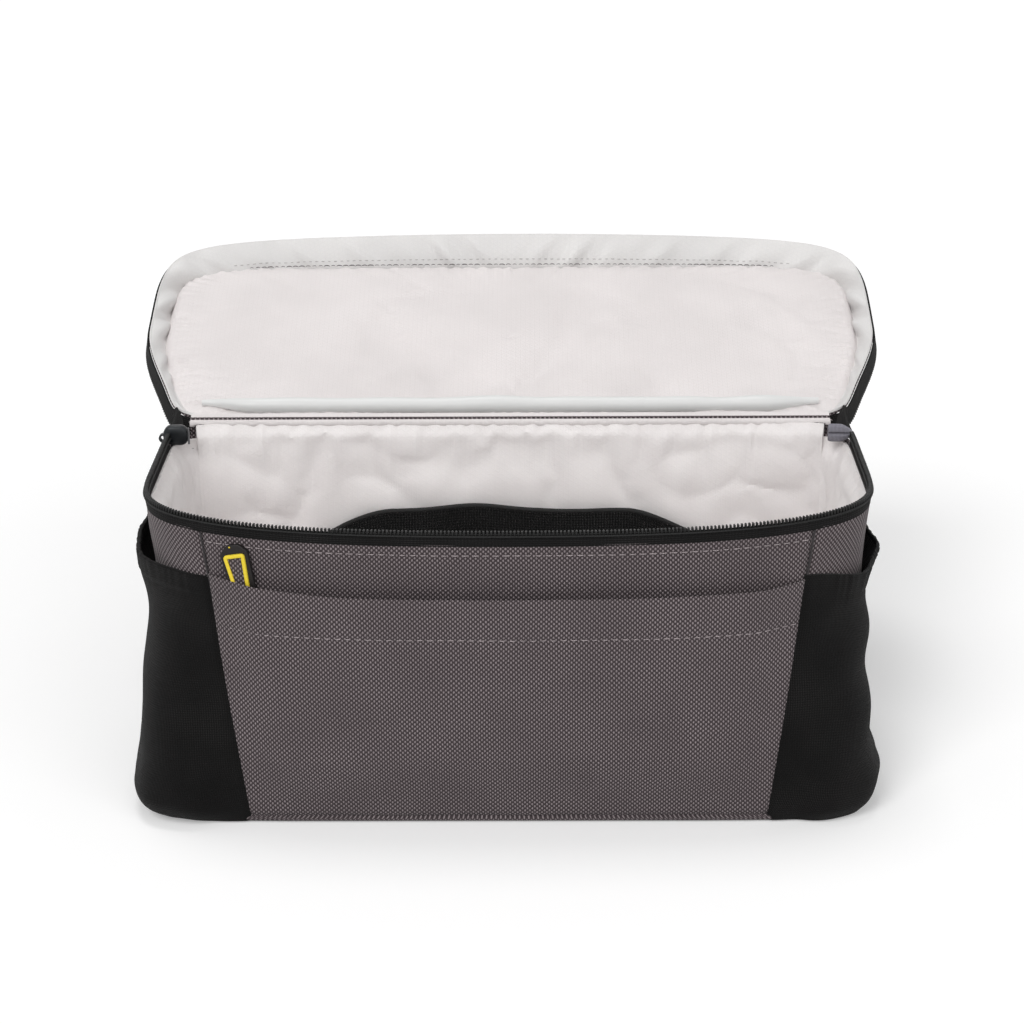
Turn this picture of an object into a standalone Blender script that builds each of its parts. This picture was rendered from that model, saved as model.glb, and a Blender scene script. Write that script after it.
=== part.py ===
# Stroller organizer: a soft padded caddy with a zipped lid that turns on a sewn hinge along its back edge.
# Metres, +Z up, front towards -Y, origin on the resting surface under the middle of the bag.

from functools import lru_cache
from math import cos, pi, radians, sin

import bmesh
import bpy
import numpy as np
from mathutils import Matrix, Vector

# Overall form of the bag
BAG_LENGTH = 0.358
BAG_DEPTH = 0.156
RIM_HEIGHT = 0.158
RIM_SAG = 0.004
FRONT_BULGE = 0.003
FRONT_CORNER_POWER = 4.5
BACK_CORNER_POWER = 12.0
WAIST = 0.004
WAIST_FADE = 0.045
FOOT_RADIUS = 0.006

# Cloth, foam and the gap that keeps touching pieces apart
SHELL = 0.0010
FOAM = 0.0028
LINER = 0.0008
GAP = 0.0003
BOARD = 0.0025

# Seams, measured in from the ends of the bag
FRONT_SEAM_TOP_MARGIN = 0.031
FRONT_SEAM_FOOT_MARGIN = 0.052
BACK_SEAM_MARGIN = 0.018
LINER_FADE = 0.012
FOAM_SEAM_GAP = 0.0015
LINER_SEAM_GAP = 0.0006

# Zip
TAPE_SHOW = 0.0072
TAPE = 0.0008
COIL_RADIUS = 0.0011
LID_TAPE_WIDTH = 0.0085
LID_TAPE_FOLD_END = 20.0
LID_TAPE_FOLD = 72.0

# Front slip pocket
POCKET_DROP = 0.0325
POCKET_STANDOFF = 0.0062
POCKET_WAIST_STANDOFF = 0.0056
POCKET_EDGE = 0.028
POCKET_FOOT = 0.003
POCKET_RISE = 0.035

# Stretch side pockets
SIDE_MOUTH_HEIGHT = 0.120
SIDE_CLOTH = 0.0009
SIDE_MOUTH_FLARE = 0.0110
SIDE_WAIST_STANDOFF = 0.0072
SIDE_FOOT_SWELL = 0.0125
SIDE_FOOT_HEIGHT = 0.022
SIDE_SWELL_START = 0.0132
SIDE_SWELL_END = 0.045
SIDE_WAIST_DROP = 0.027
SIDE_FLARE_DROP = 0.012
SIDE_BACK_MARGIN = 0.022
SIDE_FRONT_MARGIN = 0.044
ELASTIC_WIDTH = 0.009
ELASTIC = 0.0012

# Slip pocket inside
INNER_POCKET_TOP = 0.114
INNER_POCKET_FOOT = 0.010
INNER_POCKET_STANDOFF = 0.0062
INNER_POCKET_EDGE = 0.4
MESH_CLOTH = 0.0008
BINDING = 0.0024
HINGE_STRIP = 0.00045

# Lid, with its heights measured above the hinge when it is closed
LID_OPEN = 160.0
LID_BACK_HEIGHT = 0.0065
LID_FRONT_HEIGHT = 0.0165
LID_INSET = 0.002
LID_SPLAY = 0.0065
LID_SPLAY_RUN = 0.060
LID_SPLAY_CURVE = 1.5
LID_FOLD_RUN = 0.090
LID_ZIP_END_SETBACK = 0.007
LID_EDGE_GAP = 0.0022
LID_FOAM = 0.0018
PIPING_RADIUS = 0.0016
PIPING_SETBACK = 0.0165

# Slider and its pull at the left zip end, folded tab at the right one
SLIDER_SETBACK = 0.0175
SLIDER_WIDTH = 0.0125
SLIDER_HEIGHT = 0.0080
SLIDER_PLATE = 0.0012
SLIDER_DEPTH = 0.0058
SLIDER_BRIDGE = 0.0045
SLIDER_CORNER = 0.0028
LUG_RADIUS = 0.0012
LUG_REACH = 0.0026
PULL_LENGTH = 0.026
PULL_WIDTH = 0.007
PULL_THICKNESS = 0.0020
PULL_EYE_WALL = 0.0010
PULL_CORNER = 0.0012
END_TAB_LENGTH = 0.013
END_TAB_THICKNESS = 0.0052

# Moulded front tab with its raised rim
TAB_SEAM_DISTANCE = 0.0195
TAB_TOP_DROP = 0.0105
TAB_LEAN = 17.0
TAB_LENGTH = 0.036
TAB_TOP_WIDTH = 0.0165
TAB_FOOT_WIDTH = 0.0120
TAB_THICKNESS = 0.0018
TAB_SLOT_WIDTH = 0.0038
TAB_SLOT_FOOT_WIDTH = 0.0026
TAB_SLOT_DROP = 0.0100
TAB_SLOT_MARGIN = 0.0045
TAB_RIM_WIDTH = 0.0021
TAB_RIM_PROUD = 0.0005
TAB_CORNER = 0.0035
TAB_SLOT_CORNER = 0.0010
TAB_RIM_CORNER = 0.0022
TAB_WELL_CORNER = 0.0024

# Handlebar straps on the back
STRAP_X = 0.095
STRAP_WIDTH = 0.025
STRAP = 0.0016
STRAP_TOP = 0.141
STRAP_FLANGE = 0.010
STRAP_LOOP_RADIUS = 0.0185
STRAP_REACH = 0.018
PATCH = 0.0010
PATCH_HEIGHT = 0.015

# Columns in each panel and rows up the walls
SIDE_COLUMNS = 16
FRONT_COLUMNS = 12
BACK_COLUMNS = 5
WALL_ROWS = 6
FOOT_ROWS = 3
ZIP_COLUMNS = 44
CORNER_WEIGHT = 0.045
ELASTIC_SKIP_BACK = 3
ELASTIC_SKIP_FRONT = 4
LOOP_STEPS = 8

# Colours
WEAVE = (0.103, 0.086, 0.090)
STRETCH_BLACK = (0.011, 0.011, 0.011)
ZIP_BLACK = (0.009, 0.009, 0.009)
LINING = (0.72, 0.68, 0.67)
FOAM_WHITE = (0.80, 0.80, 0.78)
BOARD_BLACK = (0.03, 0.03, 0.03)
BINDING_GREY = (0.50, 0.51, 0.50)
TAB_BLACK = (0.020, 0.016, 0.016)
TAB_YELLOW = (0.90, 0.70, 0.04)
FOLDED_GREY = (0.38, 0.37, 0.42)
SLIDER_BLACK = (0.016, 0.018, 0.020)

HALF_LENGTH = BAG_LENGTH / 2
HALF_DEPTH = BAG_DEPTH / 2
SEAM_TOP_X = HALF_LENGTH - FRONT_SEAM_TOP_MARGIN
SEAM_FOOT_X = HALF_LENGTH - FRONT_SEAM_FOOT_MARGIN
BACK_SEAM_X = HALF_LENGTH - BACK_SEAM_MARGIN
TAB_X = TAB_SEAM_DISTANCE - SEAM_TOP_X
LID_ZIP_END_Y = HALF_DEPTH - LID_ZIP_END_SETBACK
PIPING_Y = HALF_DEPTH - PIPING_SETBACK
SLIDER_Y = HALF_DEPTH - SLIDER_SETBACK
ZIP_END_Y = SLIDER_Y - SLIDER_DEPTH / 2 - GAP
FOAM_INSET = SHELL + GAP
LINER_INSET = FOAM_INSET + FOAM + GAP
HINGE_Y = HALF_DEPTH
HINGE_Z = RIM_HEIGHT + GAP


def smooth(value):
    value = min(max(value, 0.0), 1.0)
    return value * value * (3 - 2 * value)


# The walls run straight between these levels, so that layers with other edges still nest.
@lru_cache(maxsize=None)
def wall_levels():
    return [float(level) for level in np.linspace(FOOT_RADIUS, RIM_HEIGHT, WALL_ROWS + 1)]


def waist_at(height):
    waists = [WAIST * smooth((RIM_HEIGHT - level) / WAIST_FADE) for level in wall_levels()]
    return float(np.interp(height, wall_levels(), waists))


def fullness_at(height):
    bulges = [FRONT_BULGE * smooth(level / (RIM_HEIGHT / 2)) for level in wall_levels()]
    return float(np.interp(height, wall_levels(), bulges))


# The outer face of the bag in plan: two half superellipses, with squarer corners at the back,
# as points, outward normals and distances from the middle of the back, going round by the left side.
@lru_cache(maxsize=None)
def plan(height):
    turn = np.linspace(pi / 2, pi / 2 + 2 * pi, 961)
    power = np.where(np.sin(turn) < 0, FRONT_CORNER_POWER, BACK_CORNER_POWER)
    half_length = HALF_LENGTH - waist_at(height)
    half_depth = HALF_DEPTH - waist_at(height) * np.where(np.sin(turn) < 0, 0.5, 0.0)
    reach = np.abs(np.cos(turn) / half_length) ** power + np.abs(np.sin(turn) / half_depth) ** power
    reach = reach ** (-1 / power)
    x = reach * np.cos(turn)
    y = reach * np.sin(turn)
    front = np.clip(-y / HALF_DEPTH, 0, 1) ** 2
    y = y - fullness_at(height) * front * (1 - (x / HALF_LENGTH) ** 2)
    steps = np.hypot(np.diff(x), np.diff(y))
    lengths = np.concatenate([[0.0], np.cumsum(steps)])
    tangent_x = np.gradient(x, lengths)
    tangent_y = np.gradient(y, lengths)
    size = np.hypot(tangent_x, tangent_y)
    return x, y, tangent_y / size, -tangent_x / size, lengths


def wall_point(place, height, outset=0.0):
    x, y, normal_x, normal_y, lengths = plan(round(height, 6))
    run = place * lengths[-1]
    point_x = np.interp(run, lengths, x) + outset * np.interp(run, lengths, normal_x)
    point_y = np.interp(run, lengths, y) + outset * np.interp(run, lengths, normal_y)
    return float(point_x), float(point_y)


# A place is the share of the way round the plan, 0 and 1 at the middle of the back.
def place_at_x(x_wanted, height, at_front):
    x, y, _, _, lengths = plan(round(height, 6))
    chosen = (y < 0) if at_front else (y > 0) & (x <= 0) & (lengths < lengths[-1] / 2)
    shares = lengths[chosen] / lengths[-1]
    values = x[chosen]
    order = np.argsort(values)
    return float(np.interp(x_wanted, values[order], shares[order]))


def place_at_y(y_wanted, height):
    x, y, _, _, lengths = plan(round(height, 6))
    left = (x < 0) & (lengths < lengths[-1] / 2)
    order = np.argsort(y[left])
    return float(np.interp(y_wanted, y[left][order], (lengths[left] / lengths[-1])[order]))


# Columns crowd where the plan turns, so that corners stay round with few faces.
@lru_cache(maxsize=None)
def bend_measure():
    x, y, normal_x, normal_y, lengths = plan(round(RIM_HEIGHT / 2, 6))
    turning = np.hypot(np.diff(normal_x), np.diff(normal_y))
    measure = np.concatenate([[0.0], np.cumsum(np.diff(lengths) + CORNER_WEIGHT * turning)])
    return lengths / lengths[-1], measure


def spaced_places(first, last, columns):
    places, measure = bend_measure()
    ends = np.interp([first, last], places, measure)
    return [float(p) for p in np.interp(np.linspace(ends[0], ends[1], columns + 1), measure, places)]


def rim_height(place):
    x, y = wall_point(place, RIM_HEIGHT)
    return RIM_HEIGHT - RIM_SAG * smooth(-y / HALF_DEPTH) * (1 - (x / HALF_LENGTH) ** 2)


def seam_x(height):
    return SEAM_FOOT_X + (SEAM_TOP_X - SEAM_FOOT_X) * height / RIM_HEIGHT


def front_seam_place(height):
    return place_at_x(-seam_x(height), height, True)


def back_seam_place(height):
    return place_at_x(-BACK_SEAM_X, height, False)


def mirrored(places):
    return [1 - place for place in reversed(places)]


# The places of one wall's columns at a height. Every layer of a wall shares them, so that layers nest.
def wall_places(wall, height):
    margin = GAP / plan(round(height, 6))[4][-1]
    front_seam = front_seam_place(height)
    back_seam = back_seam_place(height)
    if wall == "front":
        return spaced_places(front_seam + margin, 1 - front_seam - margin, FRONT_COLUMNS)
    if wall == "back":
        right = spaced_places(0.0, back_seam - margin, BACK_COLUMNS)
        return [place - 1 for place in mirrored(right)][:-1] + right
    left = spaced_places(back_seam + margin, front_seam - margin, SIDE_COLUMNS)
    return left if wall == "side_left" else mirrored(left)


def point_on(place, height, outset):
    x, y = wall_point(place % 1.0, height, outset)
    return Vector((x, y, height))


def new_material(name, color, roughness, metallic=0.0):
    material = bpy.data.materials.new(name)
    material.use_nodes = True
    shader = material.node_tree.nodes["Principled BSDF"]
    shader.inputs["Base Color"].default_value = (*color, 1.0)
    shader.inputs["Roughness"].default_value = roughness
    shader.inputs["Metallic"].default_value = metallic
    material.diffuse_color = (*color, 1.0)
    return material


def add_mesh(name, points, faces, color, roughness, metallic=0.0, smooth_angle=40.0):
    mesh = bpy.data.meshes.new(name)
    mesh.from_pydata([tuple(point) for point in points], [], faces)
    mesh.materials.append(new_material(name, color, roughness, metallic))
    mesh.shade_smooth()
    mesh.set_sharp_from_angle(angle=radians(smooth_angle))
    piece = bpy.data.objects.new(name, mesh)
    collection.objects.link(piece)
    return piece


# Thickens a surface inwards, from a depth below it.
def thicken(piece, thickness, depth=0.0):
    solid = piece.modifiers.new("Thickness", "SOLIDIFY")
    solid.thickness = thickness
    solid.offset = -1.0 - 2 * depth / thickness
    return piece


# A cloth panel: rows of points from bottom to top, each running anticlockwise, thickened inwards.
def add_sheet(name, rows, thickness, color, roughness, depth=0.0, ring=False):
    width = len(rows[0])
    points = [point for row in rows for point in row]
    faces = []
    for row in range(len(rows) - 1):
        for column in range(width if ring else width - 1):
            here = row * width + column
            after = row * width + (column + 1) % width
            faces.append((here, after, after + width, here + width))
    return thicken(add_mesh(name, points, faces, color, roughness), thickness, depth)


# A flat plate from an anticlockwise outline, thickened downwards.
def add_plate(name, outline, thickness, color, roughness, metallic=0.0):
    piece = add_mesh(name, outline, [tuple(range(len(outline)))], color, roughness, metallic)
    return thicken(piece, thickness)


def add_tube(name, points, radius, color, roughness, metallic=0.0, sides=1):
    curve = bpy.data.curves.new(name, "CURVE")
    curve.dimensions = "3D"
    curve.bevel_depth = radius
    curve.bevel_resolution = sides
    curve.use_fill_caps = True
    spline = curve.splines.new("POLY")
    spline.points.add(len(points) - 1)
    for target, point in zip(spline.points, points):
        target.co = (*point, 1.0)
    curve.materials.append(new_material(name, color, roughness, metallic))
    piece = bpy.data.objects.new(name, curve)
    collection.objects.link(piece)
    return piece


# Rows up the outer shell, first round the foot and then straight to the top edge
def shell_rows(wall, top_drop):
    rows = []
    for step in range(FOOT_ROWS):
        turn = radians(90.0 * step / FOOT_ROWS)
        height = FOOT_RADIUS * (1 - cos(turn))
        inset = FOOT_RADIUS * (1 - sin(turn))
        rows.append([point_on(place, height, -inset) for place in wall_places(wall, height)])
    return rows + straight_rows(wall, FOOT_RADIUS, top_drop, steady(0.0))


# Cuts each row short at both ends, to keep a layer clear of the seams.
def trimmed(rows, seam_gap):
    cut_rows = []
    for row in rows:
        start = row[0] + (row[1] - row[0]).normalized() * seam_gap
        end = row[-1] + (row[-2] - row[-1]).normalized() * seam_gap
        cut_rows.append([start] + row[1:-1] + [end])
    return cut_rows


# Rows from a foot height to a drop below the rim, at an outset from the outer face
def straight_rows(wall, foot, top_drop, outset):
    lowest_top = RIM_HEIGHT - RIM_SAG - top_drop
    levels = [foot] + [level for level in wall_levels() if foot + FOAM < level < lowest_top - FOAM]
    rows = []
    for level in levels:
        rows.append([point_on(place, level, outset(place, level)) for place in wall_places(wall, level)])
    top_row = []
    for place in wall_places(wall, RIM_HEIGHT - top_drop):
        height = rim_height(place % 1.0) - top_drop
        top_row.append(point_on(place, height, outset(place, height)))
    return rows + [top_row]


def shell_top_drop(wall):
    return GAP * 2 if wall == "back" else TAPE_SHOW + GAP


def build_shell():
    for wall in ("front", "back", "side_left", "side_right"):
        name = {"front": "front_panel", "back": "back_panel"}.get(wall, wall.replace("side", "side_panel"))
        add_sheet(name, shell_rows(wall, shell_top_drop(wall)), SHELL, WEAVE, 0.85)
    add_plate("base_panel", floor_outline(FOOT_RADIUS + GAP, SHELL), SHELL, WEAVE, 0.85)


# The outline of a floor piece, inset from the outer face of the walls
def floor_outline(inset, top):
    places = []
    for wall in ("back", "side_left", "front", "side_right"):
        places.extend(wall_places(wall, 0.0)[:-1])
    return [point_on(place, 0.0, -inset) + Vector((0, 0, top)) for place in places]


# An outset that is the same all over a wall
def steady(outset):
    return lambda place, height: outset


def build_padding():
    fade = LINER_FADE + GAP
    for wall in ("front", "back", "side_left", "side_right"):
        top_drop = SHELL if wall == "back" else TAPE_SHOW + fade
        rows = straight_rows(wall, FOOT_RADIUS + SHELL + GAP, top_drop, steady(-FOAM_INSET))
        add_sheet("foam_" + wall, trimmed(rows, FOAM_SEAM_GAP), FOAM, FOAM_WHITE, 0.9)
    board_top = SHELL + GAP + BOARD
    add_plate("base_board", floor_outline(FOOT_RADIUS + SHELL, board_top), BOARD, BOARD_BLACK, 0.6)


# The lining leans out to meet the zip tape in its top few millimetres.
def liner_outset(place, height):
    under_tape = rim_height(place % 1.0) - TAPE_SHOW - height
    reach = 1 - smooth(under_tape / LINER_FADE)
    return -(LINER_INSET + (FOAM_INSET - LINER_INSET) * reach)


def build_lining():
    floor_top = SHELL + GAP + BOARD + GAP + LINER
    foot = floor_top + GAP
    for wall in ("front", "side_left", "side_right"):
        rows = straight_rows(wall, foot, TAPE_SHOW + LINER_FADE, liner_outset)
        for share in (0.5, 1.0):
            row = []
            for place in wall_places(wall, RIM_HEIGHT - TAPE_SHOW):
                height = rim_height(place) - TAPE_SHOW - GAP - LINER_FADE * (1 - share)
                row.append(point_on(place, height, liner_outset(place, height)))
            rows.append(row)
        add_sheet("lining_" + wall, trimmed(rows, LINER_SEAM_GAP), LINER, LINING, 0.55)
    rows = straight_rows("back", foot, GAP * 2, steady(-LINER_INSET))
    add_sheet("lining_back", trimmed(rows, LINER_SEAM_GAP), LINER, LINING, 0.55)
    add_plate("lining_base", floor_outline(LINER_INSET + GAP, floor_top), LINER, LINING, 0.55)


# A row of the mesh pocket, which stands off the back lining between its sewn sides and foot
def inner_pocket_row(height, gap_depth, full_depth):
    places = wall_places("back", height)[1:-1]
    row = []
    for column, place in enumerate(places):
        across = 1 - abs(2 * column / (len(places) - 1) - 1)
        hold = smooth(across / INNER_POCKET_EDGE) * smooth((height - INNER_POCKET_FOOT) / POCKET_RISE)
        away = gap_depth + (full_depth - gap_depth) * hold
        row.append(point_on(place, height, -(LINER_INSET + LINER + away)))
    return row


def build_inner_pocket():
    cloth_top = INNER_POCKET_TOP - BINDING - GAP
    levels = [INNER_POCKET_FOOT] + [level for level in wall_levels() if INNER_POCKET_FOOT < level < cloth_top]
    rows = [inner_pocket_row(level, GAP, INNER_POCKET_STANDOFF) for level in levels + [cloth_top]]
    add_sheet("inner_mesh_pocket", rows, MESH_CLOTH, STRETCH_BLACK, 0.8)
    radius = BINDING / 2
    full = INNER_POCKET_STANDOFF + MESH_CLOTH / 2
    path = inner_pocket_row(INNER_POCKET_TOP - radius, GAP + radius, full)
    add_tube("inner_pocket_elastic", path, radius, STRETCH_BLACK, 0.75)


# How far the rounded foot of the wall lies inside its straight part at a height
def foot_inset(height):
    below = max(FOOT_RADIUS - height, 0.0)
    return FOOT_RADIUS - (FOOT_RADIUS ** 2 - below ** 2) ** 0.5


# The distance along the outline from a place to the nearer of the front seams
def run_to_front_seam(place, height):
    seam = front_seam_place(height)
    return abs(min(place - seam, 1 - seam - place)) * plan(round(height, 6))[4][-1]


# The slip pocket lies on the front panel at its seams and foot and stands off it between them.
def front_pocket_outset(place, height):
    hold = smooth(run_to_front_seam(place, height) / POCKET_EDGE)
    rise = smooth((height - POCKET_FOOT) / POCKET_RISE)
    stand = POCKET_WAIST_STANDOFF + (POCKET_STANDOFF - POCKET_WAIST_STANDOFF) * smooth(height / SIDE_MOUTH_HEIGHT)
    return SHELL + GAP + (stand - GAP) * hold * rise - foot_inset(height)


def build_front_pocket():
    highest = RIM_HEIGHT - POCKET_DROP - RIM_SAG - FOAM
    levels = [POCKET_FOOT] + [level for level in wall_levels() if level < highest]
    rows = []
    for level in levels:
        places = wall_places("front", level)
        rows.append([point_on(place, level, front_pocket_outset(place, level)) for place in places])
    mouth = []
    for place in wall_places("front", RIM_HEIGHT - POCKET_DROP):
        height = rim_height(place) - POCKET_DROP
        mouth.append(point_on(place, height, front_pocket_outset(place, height)))
    add_sheet("front_pocket", rows + [mouth], SHELL, WEAVE, 0.85)


# How far the stretch pocket's outer face stands off the wall, from its foot to its mouth
def side_standoff(height):
    knots = [0.0, FOOT_RADIUS, SIDE_FOOT_HEIGHT, SIDE_SWELL_END]
    knots += [SIDE_MOUTH_HEIGHT - drop for drop in (SIDE_WAIST_DROP, SIDE_FLARE_DROP, 0.0)]
    swells = [0.30, 0.78, 1.0, 0.72]
    offsets = [SIDE_FOOT_SWELL * swell for swell in swells]
    offsets += [SIDE_WAIST_STANDOFF, SIDE_WAIST_STANDOFF * 1.08, SIDE_MOUTH_FLARE]
    return float(np.interp(height, knots, offsets))


# The share of its standoff that a side pocket has at a place, none at its two seams
def side_hold(place, height):
    length = plan(round(height, 6))[4][-1]
    from_back = (place - back_seam_place(height)) * length
    from_front = (front_seam_place(height) - place) * length
    return smooth(from_back / SIDE_BACK_MARGIN) * smooth(from_front / SIDE_FRONT_MARGIN)


def side_rows(heights, inward):
    rows = []
    for height in heights:
        row = []
        for place in wall_places("side_left", height):
            stand = side_standoff(height) - GAP - SIDE_CLOTH
            outset = GAP + SIDE_CLOTH + stand * side_hold(place, height) - inward
            row.append(point_on(place, height, outset - foot_inset(height)))
        rows.append(row)
    return rows


def mirror_rows(rows):
    return [[Vector((-point.x, point.y, point.z)) for point in reversed(row)] for row in rows]


def build_side_pockets():
    heights = [POCKET_FOOT, SIDE_SWELL_START, SIDE_FOOT_HEIGHT, SIDE_MOUTH_HEIGHT]
    heights = sorted(heights + [level for level in wall_levels() if level < SIDE_MOUTH_HEIGHT - FOAM])
    pocket = side_rows(heights, 0.0)
    elastic_heights = [SIDE_MOUTH_HEIGHT - GAP - ELASTIC_WIDTH, SIDE_MOUTH_HEIGHT - GAP]
    elastic = [row[ELASTIC_SKIP_BACK:-ELASTIC_SKIP_FRONT] for row in side_rows(elastic_heights, SIDE_CLOTH + GAP)]
    for side, turned in (("left", lambda rows: rows), ("right", mirror_rows)):
        add_sheet("side_pocket_" + side, turned(pocket), SIDE_CLOTH, STRETCH_BLACK, 0.75)
        add_sheet("side_elastic_" + side, turned(elastic), ELASTIC, STRETCH_BLACK, 0.7)


# The places along a zip, from its left end round the front to its right end
def zip_places(end_y):
    first = place_at_y(end_y, RIM_HEIGHT)
    return spaced_places(first, 1 - first, ZIP_COLUMNS)


def build_bag_zip():
    places = zip_places(ZIP_END_Y)
    rows = []
    for drop in (TAPE_SHOW, COIL_RADIUS * 2 + GAP):
        rows.append([point_on(place, rim_height(place) - drop, -GAP) for place in places])
    add_sheet("bag_zip_tape", rows, TAPE, ZIP_BLACK, 0.8)
    path = [point_on(place, rim_height(place) - COIL_RADIUS, -GAP - TAPE / 2) for place in places]
    add_tube("bag_zip_coil", path, COIL_RADIUS, ZIP_BLACK, 0.45)


# Lid shapes are worked out with the lid closed, as offsets from the hinge line.
def lid_point(x, y, height):
    return Vector((x, y - HINGE_Y, height - HINGE_Z))


def lid_top(y):
    share = (HINGE_Y - y) / BAG_DEPTH
    return HINGE_Z + LID_BACK_HEIGHT + (LID_FRONT_HEIGHT - LID_BACK_HEIGHT) * share


# The distance along the rim from a place to the nearer end of the lid's zip, below zero past it
def run_to_lid_zip_end(place):
    first = place_at_y(LID_ZIP_END_Y, RIM_HEIGHT)
    return min(place - first, 1 - first - place) * plan(RIM_HEIGHT)[4][-1]


def lid_splay(place):
    return LID_SPLAY * smooth(run_to_lid_zip_end(place) / LID_SPLAY_RUN)


# The places all round the lid, in the columns of the walls below it
def lid_places():
    places = []
    for wall in ("back", "side_left", "front", "side_right"):
        places.extend(place % 1.0 for place in wall_places(wall, RIM_HEIGHT)[:-1])
    return places


def lid_outline(inset, drop):
    outline = []
    for place in lid_places():
        x, y = wall_point(place % 1.0, RIM_HEIGHT, -inset)
        outline.append(lid_point(x, y, lid_top(y) - drop))
    return outline


# One row of the lid's gusset: share 0 at the free edge and 1 at the top panel
def gusset_row(places, share):
    row = []
    for place in places:
        spread = lid_splay(place) + LID_INSET
        outset = -LID_INSET + spread * (1 - share) ** LID_SPLAY_CURVE
        x, y = wall_point(place, RIM_HEIGHT, outset)
        edge = rim_height(place) + LID_EDGE_GAP
        top = lid_top(wall_point(place, RIM_HEIGHT, -LID_INSET)[1]) - SHELL - GAP
        row.append(lid_point(x, y, edge + (top - edge) * share))
    return row


def fold_angle(place):
    share = smooth(run_to_lid_zip_end(place) / LID_FOLD_RUN)
    return radians(LID_TAPE_FOLD_END + (LID_TAPE_FOLD - LID_TAPE_FOLD_END) * share)


# The lid's tape is folded back over the gusset's free edge, more so away from the zip's ends.
def lid_tape_row(places, along):
    row = []
    for place in places:
        base = lid_splay(place) + GAP
        angle = fold_angle(place)
        x, y = wall_point(place, RIM_HEIGHT, base + along * cos(angle))
        row.append(lid_point(x, y, rim_height(place) + LID_EDGE_GAP + TAPE + along * sin(angle)))
    return row


def build_lid():
    hinge = bpy.data.objects.new("lid_hinge_axis", None)
    hinge.empty_display_size = 0.02
    hinge.location = (0.0, HINGE_Y, HINGE_Z)
    hinge.rotation_euler = (radians(-LID_OPEN), 0.0, 0.0)
    collection.objects.link(hinge)
    foam_drop = SHELL + GAP
    lining_drop = foam_drop + LID_FOAM + GAP
    side_stack = LID_INSET + SHELL + GAP + LINER + GAP
    pieces = [add_plate("lid_panel", lid_outline(LID_INSET, 0.0), SHELL, WEAVE, 0.85)]
    pieces.append(add_plate("lid_foam", lid_outline(side_stack, foam_drop), LID_FOAM, FOAM_WHITE, 0.9))
    pieces.append(add_plate("lid_lining", lid_outline(side_stack, lining_drop), LINER, LINING, 0.55))
    around = [gusset_row(lid_places(), share) for share in (0.0, 0.25, 0.6, 1.0)]
    pieces.append(add_sheet("lid_gusset", around, SHELL, WEAVE, 0.85, ring=True))
    lining_depth = SHELL + GAP
    pieces.append(add_sheet("lid_gusset_lining", around, LINER, LINING, 0.55, lining_depth, ring=True))
    places = zip_places(LID_ZIP_END_Y)
    tape = [lid_tape_row(places, along) for along in (LID_TAPE_WIDTH, 0.0)]
    pieces.append(add_sheet("lid_zip_tape", tape, TAPE, ZIP_BLACK, 0.8))
    coil = lid_tape_row(places, LID_TAPE_WIDTH + GAP + COIL_RADIUS)
    pieces.append(add_tube("lid_zip_coil", coil, COIL_RADIUS, ZIP_BLACK, 0.45))
    under = lid_top(PIPING_Y) - lining_drop - LINER - GAP - PIPING_RADIUS
    span = HALF_LENGTH - END_TAB_LENGTH - PIPING_RADIUS * 2
    ends = [lid_point(-span, PIPING_Y, under), lid_point(span, PIPING_Y, under)]
    pieces.append(add_tube("lid_binding", ends, PIPING_RADIUS, BINDING_GREY, 0.35, sides=2))
    for piece in pieces:
        piece.parent = hinge


def build_hinge_strip():
    near = HALF_DEPTH - LINER_INSET - LINER
    far = HALF_DEPTH - GAP
    span = BACK_SEAM_X - GAP
    top = RIM_HEIGHT
    outline = [(-span, far, top), (-span, near, top), (span, near, top), (span, far, top)]
    add_plate("hinge_strip", outline, HINGE_STRIP, LINING, 0.55)


def add_outline(name, outline, half_thickness, color, roughness, hole=None, metallic=0.0):
    curve = bpy.data.curves.new(name, "CURVE")
    curve.dimensions = "2D"
    curve.fill_mode = "BOTH"
    curve.extrude = half_thickness
    for points in (outline, hole):
        if points is None:
            continue
        spline = curve.splines.new("POLY")
        spline.points.add(len(points) - 1)
        for target, (x, y) in zip(spline.points, points):
            target.co = (x, y, 0.0, 1.0)
        spline.use_cyclic_u = True
    curve.materials.append(new_material(name, color, roughness, metallic))
    piece = bpy.data.objects.new(name, curve)
    collection.objects.link(piece)
    return piece


def rounded(corners, radius, steps=3):
    points = []
    count = len(corners)
    for index, corner in enumerate(corners):
        here = Vector(corner)
        before = (Vector(corners[index - 1]) - here).normalized()
        after = (Vector(corners[(index + 1) % count]) - here).normalized()
        for step in range(steps + 1):
            share = step / steps
            start = here + before * radius
            end = here + after * radius
            point = start.lerp(here, share).lerp(here.lerp(end, share), share)
            points.append((point.x, point.y))
    return points


# A tapered loop outline that hangs down from its top edge, in its own plane
def hanging_outline(top_width, foot_width, top, foot, radius):
    half_top = top_width / 2
    half_foot = foot_width / 2
    corners = [(-half_top, -top), (-half_foot, -foot), (half_foot, -foot), (half_top, -top)]
    return rounded(corners, radius)


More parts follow.
